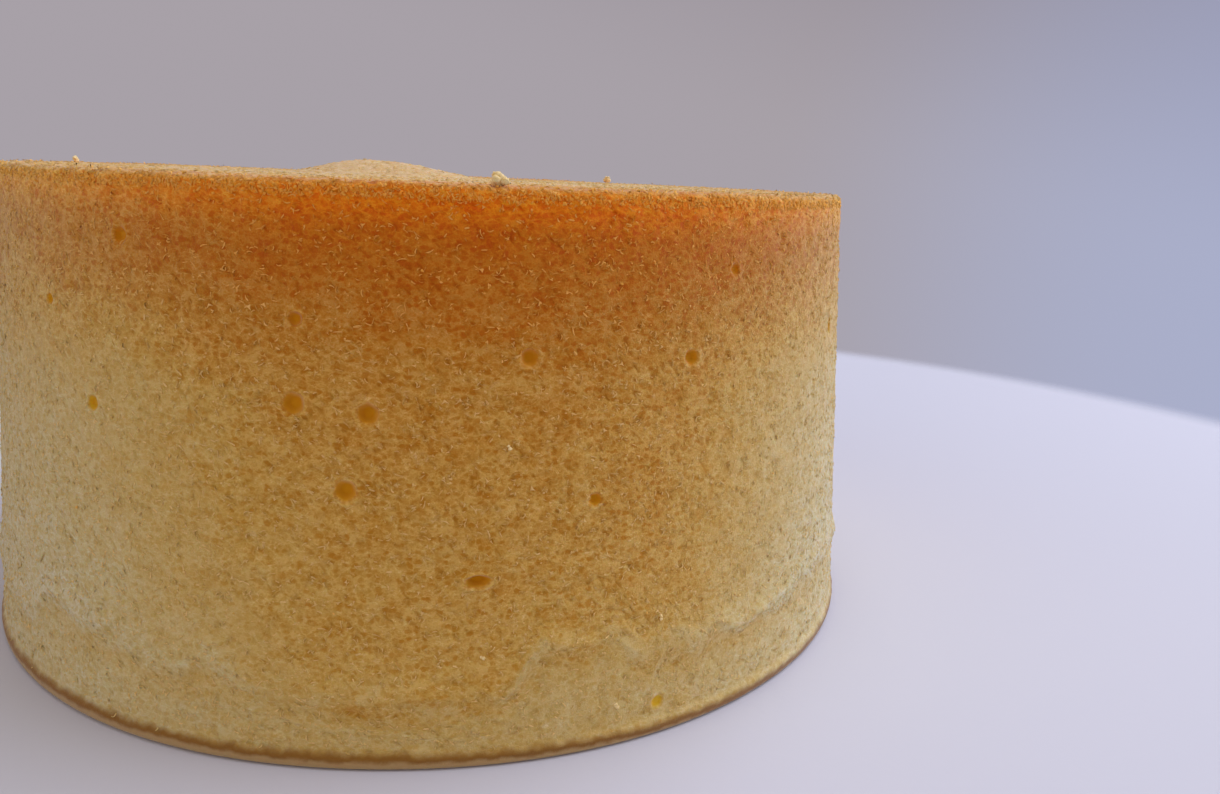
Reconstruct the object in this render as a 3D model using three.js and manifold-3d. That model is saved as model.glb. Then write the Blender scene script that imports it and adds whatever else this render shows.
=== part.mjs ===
/**
 * A round chiffon cake, turned out of its pan and standing on its baked crust.
 *
 * Millimetres, +Z up. The origin is the centre of the flat base, and the side at -Y is the front.
 * The cake is one solid: a tapered sponge with a thin crust lip round its base, a wavy fold low on
 * its side, a low mound on its top, and the round pits that large bubbles left.
 */
import * as THREE from 'three';
import { mergeVertices } from 'three/addons/utils/BufferGeometryUtils.js';
import Module from 'manifold-3d';

const wasm = await Module();
wasm.setup();

const { degToRad, euclideanModulo, lerp, radToDeg, smoothstep } = THREE.MathUtils;

// Driving dimensions, in millimetres
const BASE_RADIUS = 77;
const TOP_RADIUS = 72;
const HEIGHT = 73.2;
const RIM_ROUNDING = 0.9;

// The crust round the base: it stands out a little and turns in below
const CRUST_HEIGHT = 2.1;
const CRUST_LIP = 0.35;
const CRUST_TURN = 1;

// The fold, where the sponge sank a little in the pan and creased: a lip over a shallow hollow
const FOLD_HEIGHT = 12.9;
const FOLD_REACH = 9;
const FOLD_LIP = { out: 0.7, above: 0.6, half: 1.5 };
const FOLD_HOLLOW = { out: -0.35, above: -1.9, half: 1.5 };
const FOLD_FAINTEST = 0.35;

// Folds behind the front, in degrees of length and millimetres of height
const FOLD_SPANS = [16, 30];
const FOLD_STARTS = [11.9, 17.4];
const FOLD_ENDS = [9.4, 12.9];
const FOLD_STEP = 5;
const BACK = { from: 60, to: 302 };

// The mound on the top, left of the middle, with its long slope to the right
const MOUND = { x: -14.4, y: 3, height: 2.65, left: 16.5, right: 24, deep: 17, crown: 0.1 };

// How far the side, the rim and the top stray from a true cone
const SIDE_WAVE = 0.28;
const RIM_WAVE = 0.12;
const TOP_WAVE = 0.18;

// Facets
const SEGMENTS = 96;
const SIDE_ROW = 6;
const FOLD_ROW = 1.5;
const TOP_ROW = 7;
const PIT_COLUMNS = 8;
const PIT_ROWS = 5;

// Pits: how deep they sit and go for their width, and how many lie behind the front and on top
const PIT_SINK = 0.05;
const PIT_DEPTH = 0.34;
const BACK_PITS = 18;
const BACK_PIT_WIDTHS = [1.6, 2.8];
const BACK_PIT_HEIGHTS = [20.9, 66.9];
const TOP_PITS = 5;
const TOP_PIT_RADII = [34, 64];
const SEED = 41;

/**
 * The folds at the front, from left to right: the angle where each begins, in degrees from the
 * front towards +X, and its height there and where the next one begins.
 */
const FRONT_FOLDS = [
  { at: -50, start: 17.4, end: 10.9 },
  { at: -27, start: 15.4, end: 9.9 },
  { at: -18, start: 9.9, end: 9.4 },
  { at: 5, start: 15.9, end: 14.9 },
  { at: 16, start: 11.5, end: 13.9 },
];

/** The pits at the front: angle in degrees, height, width, and how tall each is for its width. */
const FRONT_PITS = [
  { angle: -44.6, z: 56.5, width: 1.6, tall: 1 },
  { angle: -37.3, z: 44.1, width: 2.2, tall: 1 },
  { angle: -33, z: 65.6, width: 2.1, tall: 1.1 },
  { angle: -14.3, z: 47.1, width: 2.9, tall: 1 },
  { angle: -14.1, z: 57.3, width: 1.8, tall: 1 },
  { angle: -9.4, z: 36.8, width: 2.9, tall: 0.9 },
  { angle: -7.3, z: 46.3, width: 2.8, tall: 1 },
  { angle: 3, z: 27, width: 3.5, tall: 0.45 },
  { angle: 7.8, z: 53.3, width: 2.4, tall: 1 },
  { angle: 14.6, z: 34.5, width: 2, tall: 1 },
  { angle: 22.1, z: 5.1, width: 2.4, tall: 1.1 },
  { angle: 25.8, z: 52.3, width: 2.3, tall: 1 },
  { angle: 31.9, z: 63.6, width: 1.7, tall: 1 },
  { angle: 56.7, z: 52.9, width: 1.9, tall: 1.4 },
];

/** A repeatable source of numbers from 0 to 1. */
function makeRandom(seed) {
  let state = seed >>> 0;
  return () => {
    state = (state + 0x6d2b79f5) >>> 0;
    let mixed = Math.imul(state ^ (state >>> 15), state | 1);
    mixed ^= mixed + Math.imul(mixed ^ (mixed >>> 7), mixed | 61);
    return ((mixed ^ (mixed >>> 14)) >>> 0) / 2 ** 32;
  };
}

const random = makeRandom(SEED);
const between = ([low, high]) => lerp(low, high, random());

/** A few slow waves round the cake, at most about 1, that lean a little as they rise. */
function makeWaves(orders) {
  const waves = orders.map((order) => ({
    order,
    phase: 2 * Math.PI * random(),
    lean: 0.05 * (random() - 0.5),
  }));
  return (angle, z) => waves.reduce(
    (sum, { order, phase, lean }) => sum + Math.sin(order * angle + phase + lean * z) / waves.length,
    0,
  );
}

const sideWaves = makeWaves([2, 3, 5, 8]);
const rimWaves = makeWaves([2, 5, 9, 13]);
const topWaves = makeWaves([1, 2, 3]);

/** The radius of the plain cone at a height. */
const coneRadius = (z) => lerp(BASE_RADIUS, TOP_RADIUS, z / HEIGHT);

/** All folds round the cake: those of the front, then others of random length behind it. */
function makeFolds() {
  const folds = [...FRONT_FOLDS];
  for (let at = BACK.from; at < BACK.to - FOLD_SPANS[0]; at += between(FOLD_SPANS)) {
    folds.push({ at, start: between(FOLD_STARTS), end: between(FOLD_ENDS) });
  }
  return folds;
}

const folds = makeFolds();

/** The height and the strength of the fold at an angle in degrees. */
function foldAt(degrees) {
  const first = folds[0].at;
  const turned = first + euclideanModulo(degrees - first, 360);
  const index = folds.findLastIndex((fold) => fold.at <= turned);
  const fold = folds[index];
  const before = folds.at(index - 1);
  const next = index + 1 < folds.length ? folds[index + 1].at : first + 360;
  const along = (turned - fold.at) / (next - fold.at);
  const step = smoothstep(turned, fold.at, fold.at + FOLD_STEP);
  return {
    height: lerp(before.end, lerp(fold.start, fold.end, along), step),
    strength: lerp(FOLD_FAINTEST, 1, Math.sin(Math.PI * along)),
  };
}

/** How far one part of the fold stands out, by the height above the fold's own line. */
const swell = ({ out, above, half }, height) => out * Math.exp(-(((height - above) / half) ** 2));

/** The mound's height at a place on the top. */
function moundHeight(x, y) {
  const across = (x - MOUND.x) / (x < MOUND.x ? MOUND.left : MOUND.right);
  const deep = (y - MOUND.y) / MOUND.deep;
  return MOUND.height * (1 - smoothstep(Math.hypot(across, deep), MOUND.crown, 1));
}

/** Values from one to another in steps of about a given size, without the last. */
function steps(from, to, size) {
  const count = Math.max(1, Math.round(Math.abs(to - from) / size));
  return Array.from({ length: count }, (_, i) => lerp(from, to, i / count));
}

/** The outline from the axis at the base, up the side and back to the axis at the top. */
function makeProfile() {
  const foldLow = FOLD_HEIGHT - FOLD_REACH / 2;
  const foldHigh = FOLD_HEIGHT + FOLD_REACH / 2;
  const shoulder = HEIGHT - RIM_ROUNDING;
  const crust = [0.3, 0.8].map((share) => [BASE_RADIUS + CRUST_LIP, CRUST_HEIGHT * share]);
  const side = [
    CRUST_HEIGHT * 1.2,
    foldLow * 0.6,
    ...steps(foldLow, foldHigh, FOLD_ROW),
    ...steps(foldHigh, shoulder, SIDE_ROW),
    shoulder,
  ].map((z) => [coneRadius(z), z]);
  const rim = [35, 90].map(degToRad).map((turn) => [
    coneRadius(shoulder) - RIM_ROUNDING * (1 - Math.cos(turn)),
    shoulder + RIM_ROUNDING * Math.sin(turn),
  ]);
  const top = steps(TOP_RADIUS - TOP_ROW, 0, TOP_ROW).map((radius) => [radius, HEIGHT]);
  const base = [[0, 0], [BASE_RADIUS - CRUST_TURN, 0]];
  return [...base, ...crust, ...side, ...rim, ...top, [0, HEIGHT]]
    .map(([radius, z]) => new THREE.Vector2(radius, z));
}

/** Moves one point of the plain cake, off its flat base, to its place on the uneven one. */
function shapePoint(point) {
  const { x, y, z } = point;
  const radius = Math.hypot(x, y);
  const angle = Math.atan2(x, -y);
  const onSide = smoothstep(radius, TOP_RADIUS - 2 * TOP_ROW, TOP_RADIUS - 2);
  const onTop = smoothstep(z, HEIGHT - 2 * SIDE_ROW, HEIGHT);
  const fold = foldAt(radToDeg(angle));
  const byFold = smoothstep(z, CRUST_HEIGHT, FOLD_HEIGHT - 2)
    * (1 - smoothstep(z, FOLD_HEIGHT + 2, FOLD_HEIGHT + 3 * FOLD_REACH));

  const height = z + byFold * (fold.height - FOLD_HEIGHT);
  const relief = swell(FOLD_LIP, z - FOLD_HEIGHT) + swell(FOLD_HOLLOW, z - FOLD_HEIGHT);
  const push = onSide * (SIDE_WAVE * sideWaves(angle, z) + fold.strength * relief
    + coneRadius(height) - coneRadius(z));
  const rise = onTop * onSide * RIM_WAVE * rimWaves(angle, 0)
    + onTop * (1 - onSide) * (radius / TOP_RADIUS) * TOP_WAVE * topWaves(angle, 0)
    + (z < HEIGHT ? 0 : moundHeight(x, y));
  const scale = radius > 0 ? (radius + push) / radius : 1;
  point.set(x * scale, y * scale, height + rise);
}

/** The closed mesh of a geometry, with shared corners merged and empty triangles dropped. */
function closedMesh(geometry) {
  geometry.deleteAttribute('normal');
  geometry.deleteAttribute('uv');
  const merged = mergeVertices(geometry);
  const corners = Array.from(merged.index.array);
  merged.setIndex(corners.filter((_, i) => {
    const first = i - (i % 3);
    return new Set(corners.slice(first, first + 3)).size === 3;
  }));
  return merged;
}

/** The solid that a closed geometry bounds. */
function toSolid({ attributes, index }) {
  const vertProperties = new Float32Array(attributes.position.array);
  const triVerts = new Uint32Array(index.array);
  return new wasm.Manifold(new wasm.Mesh({ numProp: 3, vertProperties, triVerts }));
}

/** The geometry of a solid. */
function toGeometry(solid) {
  const { vertProperties, triVerts } = solid.getMesh();
  const geometry = new THREE.BufferGeometry();
  geometry.setAttribute('position', new THREE.BufferAttribute(new Float32Array(vertProperties), 3));
  geometry.setIndex(new THREE.BufferAttribute(new Uint32Array(triVerts), 1));
  geometry.computeVertexNormals();
  return geometry;
}

/** The cake before its pits: a turned outline whose points are then moved to their places. */
function makeSponge() {
  const turned = new THREE.LatheGeometry(makeProfile(), SEGMENTS).rotateX(Math.PI / 2);
  const sponge = closedMesh(turned);
  const positions = sponge.attributes.position;
  const flat = 1e-3;
  for (let i = 0; i < positions.count; i += 1) {
    const point = new THREE.Vector3().fromBufferAttribute(positions, i);
    if (Math.abs(point.z - HEIGHT) < flat) point.z = HEIGHT;
    if (point.z > flat) shapePoint(point);
    else point.z = 0;
    positions.setXYZ(i, ...point);
  }
  return toSolid(sponge);
}

/** A rounded bubble, ready to be cut away, sunk at a place on a surface that faces outward. */
function makeBubble({ place, outward }, width, tall) {
  const half = width / 2;
  const bubble = closedMesh(new THREE.SphereGeometry(1, PIT_COLUMNS, PIT_ROWS));
  const turn = new THREE.Quaternion().setFromUnitVectors(new THREE.Vector3(0, -1, 0), outward);
  const centre = place.clone().addScaledVector(outward, -PIT_SINK * width);
  bubble.scale(half, PIT_DEPTH * width, half * tall);
  bubble.applyQuaternion(turn);
  bubble.translate(...centre);
  return toSolid(bubble);
}

/** A bubble in the side. */
function makeSideBubble({ angle, z, width, tall }) {
  const turn = degToRad(angle);
  const outward = new THREE.Vector3(Math.sin(turn), -Math.cos(turn), 0);
  const radius = coneRadius(z) + SIDE_WAVE * sideWaves(turn, z);
  const place = outward.clone().multiplyScalar(radius).setZ(z);
  return makeBubble({ place, outward }, width, tall);
}

/** Pits behind the front, one in each of as many equal slices, at a height drawn by chance. */
function makeBackPits() {
  return Array.from({ length: BACK_PITS }, (_, i) => ({
    angle: lerp(BACK.from, BACK.to, (i + random()) / BACK_PITS),
    z: between(BACK_PIT_HEIGHTS),
    width: between(BACK_PIT_WIDTHS),
    tall: between([0.7, 1.2]),
  }));
}

/** The few bubbles in the top, one in each of as many equal slices. */
function makeTopBubbles() {
  const outward = new THREE.Vector3(0, 0, 1);
  return Array.from({ length: TOP_PITS }, (_, i) => {
    const angle = (2 * Math.PI * (i + random())) / TOP_PITS;
    const radius = between(TOP_PIT_RADII);
    const place = new THREE.Vector3(radius * Math.sin(angle), -radius * Math.cos(angle), HEIGHT);
    return makeBubble({ place, outward }, between(BACK_PIT_WIDTHS), 1);
  });
}

/** The whole cake. */
function makeCake() {
  const bubbles = [...[...FRONT_PITS, ...makeBackPits()].map(makeSideBubble), ...makeTopBubbles()];
  const pitted = bubbles.reduce((solid, bubble) => solid.subtract(bubble), makeSponge());
  const sponge = new THREE.MeshStandardMaterial({ color: 0xd9a55a, roughness: 0.95, metalness: 0 });
  const cake = new THREE.Mesh(toGeometry(pitted), sponge);
  cake.name = 'cake';
  return cake;
}

const group = new THREE.Group();
group.add(makeCake());

export default group;
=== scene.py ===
"""A round chiffon cake, turned out of its pan and standing on its baked crust.

The pieces are modelled in millimetres with +Z up and the front at -Y, and are scaled to metres at the end.
"""

import logging
import math
from collections.abc import Callable
from dataclasses import dataclass, field
from enum import Enum

import bmesh
import bpy
import numpy as np
from bmesh.types import BMesh
from mathutils import Matrix, Vector, noise


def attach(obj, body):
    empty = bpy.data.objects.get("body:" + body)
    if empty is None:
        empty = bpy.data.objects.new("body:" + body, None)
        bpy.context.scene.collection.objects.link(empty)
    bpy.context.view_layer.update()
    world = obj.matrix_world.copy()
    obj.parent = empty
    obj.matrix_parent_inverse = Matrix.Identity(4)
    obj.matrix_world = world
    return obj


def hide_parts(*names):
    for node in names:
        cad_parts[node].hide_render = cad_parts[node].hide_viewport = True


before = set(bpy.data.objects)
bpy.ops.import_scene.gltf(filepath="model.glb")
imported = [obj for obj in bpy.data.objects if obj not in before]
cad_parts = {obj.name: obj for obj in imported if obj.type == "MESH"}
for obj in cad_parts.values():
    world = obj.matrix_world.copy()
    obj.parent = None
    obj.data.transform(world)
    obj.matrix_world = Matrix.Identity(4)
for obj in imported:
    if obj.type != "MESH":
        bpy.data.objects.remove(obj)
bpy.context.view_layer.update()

log = logging.getLogger("chiffon_cake")

MM = 0.001
NODE = "cake"
BODY = "root"
WORD = 0xFFFFFFFF
UP = np.array([0.0, 0.0, 1.0])
Array = np.ndarray
Colour = tuple[float, float, float]
Socket = bpy.types.NodeSocket


def smoothstep(value: Array | float, low: float, high: float) -> Array | float:
    """Returns a value eased from 0 at low to 1 at high."""
    share = np.clip((value - low) / (high - low), 0.0, 1.0)
    return share * share * (3.0 - 2.0 * share)


def mix(low: Array | float, high: Array | float, share: Array | float) -> Array | float:
    """Returns the blend of two values, low at share 0 and high at share 1."""
    return low + (high - low) * share


def bell(value: Array, middle: float, width: float) -> Array:
    """Returns a bell curve of height 1 round the middle."""
    return np.exp(-(((value - middle) / width) ** 2))


def field_noise(places: Array, size: float | tuple[float, float, float], shift: float) -> Array:
    """Returns smooth noise from about -1 to 1 at each place, with lumps of about the size, moved by shift."""
    scaled = places / np.array(size) + shift
    return np.array([noise.noise(Vector(point)) for point in scaled]) * 1.6


def apart(degrees: Array, at: Array | float) -> Array:
    """Returns how far angles are from others, in degrees either way."""
    return np.abs(np.mod(degrees - at + 180.0, 360.0) - 180.0)


def unit(vectors: Array) -> Array:
    """Returns the vectors, each made 1 long."""
    return vectors / np.maximum(np.linalg.norm(vectors, axis=1), 1e-9)[:, None]


class Draws:
    """Repeatable numbers from 0 to 1, in the order in which the solid draws its own."""

    def __init__(self, seed: int) -> None:
        """Starts the draws from a seed."""
        self.state = seed

    def draw(self) -> float:
        """Draws a number.

        Returns:
            The next number from 0 to 1.
        """
        self.state = (self.state + 0x6D2B79F5) & WORD
        mixed = ((self.state ^ (self.state >> 15)) * (self.state | 1)) & WORD
        mixed ^= (mixed + (((mixed ^ (mixed >> 7)) * (mixed | 61)) & WORD)) & WORD
        return (mixed ^ (mixed >> 14)) / 2**32

    def between(self, low: float, high: float) -> float:
        """Returns the next number from low to high."""
        return mix(low, high, self.draw())


@dataclass(frozen=True)
class Wave:
    """One slow wave round the cake."""

    order: int
    phase: float
    lean: float


class Waves:
    """A few slow waves round the cake, together at most about 1.

    Attributes:
        leaning: How far a wave may turn with height, in radians for each millimetre.
    """

    leaning: float = 0.05

    def __init__(self, draws: Draws, orders: tuple[int, ...]) -> None:
        """Draws a phase and a lean for a wave of each order.

        Args:
            draws: Where the numbers come from.
            orders: How many crests each wave has round the cake.
        """
        self.waves = [
            Wave(order, 2 * math.pi * draws.draw(), self.leaning * (draws.draw() - 0.5)) for order in orders
        ]

    def at(self, angle: Array, z: Array | float) -> Array:
        """Returns the sum of the waves at angles in radians and heights in millimetres."""
        terms = [np.sin(wave.order * angle + wave.phase + wave.lean * z) for wave in self.waves]
        return sum(terms) / len(terms)


@dataclass(frozen=True)
class Fold:
    """One fold of the crease: where it begins, in degrees, and its heights at both ends."""

    at: float
    start: float
    end: float


@dataclass(frozen=True)
class Pit:
    """A round pit that a bubble left in the side.

    Attributes:
        angle: Degrees from the front towards +X.
        z: Height of its middle.
        width: Across its mouth.
        tall: Its height for its width.
        strength: How deep and brown it is beside the others.
    """

    angle: float
    z: float
    width: float
    tall: float
    strength: float = 1.0


@dataclass(frozen=True)
class TopPit:
    """A round pit in the top: where it lies and how wide it is."""

    x: float
    y: float
    width: float


FRONT_FOLDS = (
    Fold(-50, 17.4, 10.9),
    Fold(-27, 15.4, 9.9),
    Fold(-18, 9.9, 9.4),
    Fold(5, 15.9, 14.9),
    Fold(16, 11.5, 13.9),
)

FRONT_PITS = (
    Pit(-44.6, 56.5, 1.6, 1),
    Pit(-37.3, 44.1, 2.2, 1),
    Pit(-33, 65.6, 2.1, 1.1),
    Pit(-14.3, 47.1, 2.9, 1),
    Pit(-14.1, 57.3, 1.8, 1),
    Pit(-9.4, 36.8, 2.9, 0.9),
    Pit(-7.3, 46.3, 2.8, 1),
    Pit(3, 27, 3.5, 0.45),
    Pit(7.8, 53.3, 2.4, 1),
    Pit(14.6, 34.5, 2, 1),
    Pit(22.1, 5.1, 2.4, 1.1, 0.45),
    Pit(25.8, 52.3, 2.3, 1),
    Pit(31.9, 63.6, 1.7, 1, 0.75),
    Pit(56.7, 52.9, 1.9, 1.4),
)


@dataclass
class CakeForm:
    """The cake's sizes in millimetres, and its surface as worked out from them."""

    base_radius: float = 77.0
    top_radius: float = 72.0
    height: float = 73.2
    rim_rounding: float = 0.9
    crust_height: float = 2.1
    crust_lip: float = 0.35
    crust_turn: float = 1.0
    fold_height: float = 12.9
    fold_reach: float = 9.0
    fold_faintest: float = 0.35
    fold_step: float = 5.0
    fold_spans: tuple[float, float] = (16.0, 30.0)
    fold_starts: tuple[float, float] = (11.9, 17.4)
    fold_ends: tuple[float, float] = (9.4, 12.9)
    back: tuple[float, float] = (60.0, 302.0)
    mound_x: float = -14.4
    mound_y: float = 3.0
    mound_height: float = 2.65
    mound_left: float = 16.5
    mound_right: float = 24.0
    mound_deep: float = 17.0
    mound_crown: float = 0.1
    side_wave: float = 0.28
    rim_wave: float = 0.12
    top_wave: float = 0.18
    top_lean: float = 0.38
    back_pits: int = 18
    pit_widths: tuple[float, float] = (1.6, 2.8)
    pit_heights: tuple[float, float] = (20.9, 66.9)
    top_pits: int = 5
    top_pit_radii: tuple[float, float] = (34.0, 64.0)
    seed: int = 41
    folds: list[Fold] = field(default_factory=list)
    pits: list[Pit] = field(default_factory=list)
    tops: list[TopPit] = field(default_factory=list)

    def __post_init__(self) -> None:
        """Draws the waves, the folds and the pits in the solid's order."""
        draws = Draws(self.seed)
        self.side_waves = Waves(draws, (2, 3, 5, 8))
        self.rim_waves = Waves(draws, (2, 5, 9, 13))
        self.top_waves = Waves(draws, (1, 2, 3))
        self.folds = list(FRONT_FOLDS) + self._back_folds(draws)
        self.pits = list(FRONT_PITS) + [self._back_pit(draws, i) for i in range(self.back_pits)]
        self.tops = [self._top_pit(draws, i) for i in range(self.top_pits)]

    def _back_folds(self, draws: Draws) -> list[Fold]:
        """Draws the folds behind the front.

        Args:
            draws: Where the numbers come from.

        Returns:
            The folds, each of random length.
        """
        folds = []
        at = self.back[0]
        while at < self.back[1] - self.fold_spans[0]:
            folds.append(Fold(at, draws.between(*self.fold_starts), draws.between(*self.fold_ends)))
            at += draws.between(*self.fold_spans)
        return folds

    def _back_pit(self, draws: Draws, index: int) -> Pit:
        """Draws the pit in one of the equal slices behind the front.

        Args:
            draws: Where the numbers come from.
            index: The slice's number.

        Returns:
            The pit.
        """
        angle = mix(*self.back, (index + draws.draw()) / self.back_pits)
        z = draws.between(*self.pit_heights)
        width = draws.between(*self.pit_widths)
        return Pit(angle, z, width, draws.between(0.7, 1.2))

    def _top_pit(self, draws: Draws, index: int) -> TopPit:
        """Draws the pit in one of the equal slices of the top.

        Args:
            draws: Where the numbers come from.
            index: The slice's number.

        Returns:
            The pit.
        """
        angle = 2 * math.pi * (index + draws.draw()) / self.top_pits
        radius = draws.between(*self.top_pit_radii)
        return TopPit(radius * math.sin(angle), -radius * math.cos(angle), draws.between(*self.pit_widths))

    def cone_radius(self, z: Array | float) -> Array | float:
        """Returns the radius of the plain cone at a height."""
        return mix(self.base_radius, self.top_radius, z / self.height)

    def side_place(self, degrees: float, z: float) -> Vector:
        """Returns the point of the plain side at an angle and a height."""
        angle, radius = math.radians(degrees), self.cone_radius(z)
        return Vector((radius * math.sin(angle), -radius * math.cos(angle), z))

    def fold_at(self, degrees: Array) -> tuple[Array, Array]:
        """Finds the fold round the cake.

        Args:
            degrees: Angles from the front towards +X.

        Returns:
            The height of the fold's line and the strength of its relief at each angle.
        """
        starts = np.array([fold.at for fold in self.folds])
        turned = starts[0] + np.mod(degrees - starts[0], 360.0)
        index = np.searchsorted(starts, turned, side="right") - 1
        start_z = np.array([fold.start for fold in self.folds])[index]
        end_z = np.array([fold.end for fold in self.folds])
        follow = np.append(starts[1:], starts[0] + 360.0)[index]
        along = (turned - starts[index]) / (follow - starts[index])
        step = smoothstep(turned, starts[index], starts[index] + self.fold_step)
        height = mix(end_z[index - 1], mix(start_z, end_z[index], along), step)
        return height, mix(self.fold_faintest, 1.0, np.sin(math.pi * along))

    def mound(self, x: Array, y: Array) -> Array:
        """Works out how high the mound stands over the top.

        Args:
            x: Places to the right of the middle.
            y: Places behind it.

        Returns:
            The height at each place.
        """
        across = (x - self.mound_x) / np.where(x < self.mound_x, self.mound_left, self.mound_right)
        deep = (y - self.mound_y) / self.mound_deep
        return self.mound_height * (1.0 - smoothstep(np.hypot(across, deep), self.mound_crown, 1.0))


class PlainCake:
    """The vertices of the plain cake, and how each of them lies.

    Attributes:
        places: Where they are, in millimetres.
        angle: Radians from the front towards +X.
        degrees: The same in degrees.
        radius: How far from the axis.
        above: How far over the fold.
        on_side: 1 on the side, falling to 0 on the top.
        on_top: 1 at the top, falling to 0 down the side.
        flat_top: Which of them lie on the flat top.
        upward: How far each faces up, from 0 on the side to 1 on the top.
        outward: The level way out from the axis.
        normal: The way the plain surface faces.
        free: Which of them lie off the flat base and may move, as a column.
    """

    blend: float = 12.0
    nearly: float = 1e-3

    def __init__(self, form: CakeForm, places: Array) -> None:
        """Works out how the vertices lie.

        Args:
            form: The cake's sizes.
            places: The vertices, in millimetres.
        """
        x, y, z = places.T
        flat_edge = form.top_radius - form.rim_rounding
        self.places = places
        self.angle = np.arctan2(x, -y)
        self.degrees = np.degrees(self.angle)
        self.radius = np.hypot(x, y)
        self.above = z - form.fold_height
        self.on_side = smoothstep(self.radius, flat_edge - self.blend, flat_edge - 0.5)
        self.on_top = smoothstep(z, form.height - self.blend, form.height)
        self.flat_top = z > form.height - self.nearly
        rounding = smoothstep(z, form.height - form.rim_rounding, form.height)
        self.upward = np.where(self.flat_top, 1.0, rounding)
        self.outward = unit(np.column_stack([x, y, np.zeros_like(x)]))
        tilt = (self.upward * math.pi / 2)[:, None]
        self.normal = self.outward * np.cos(tilt) + UP * np.sin(tilt)
        self.free = (z > self.nearly)[:, None]


@dataclass(frozen=True)
class HotSide:
    """A side of the cake that browned more: its middle in degrees, its heat, its core and its reach."""

    at: float
    heat: float
    core: float
    reach: float


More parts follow.
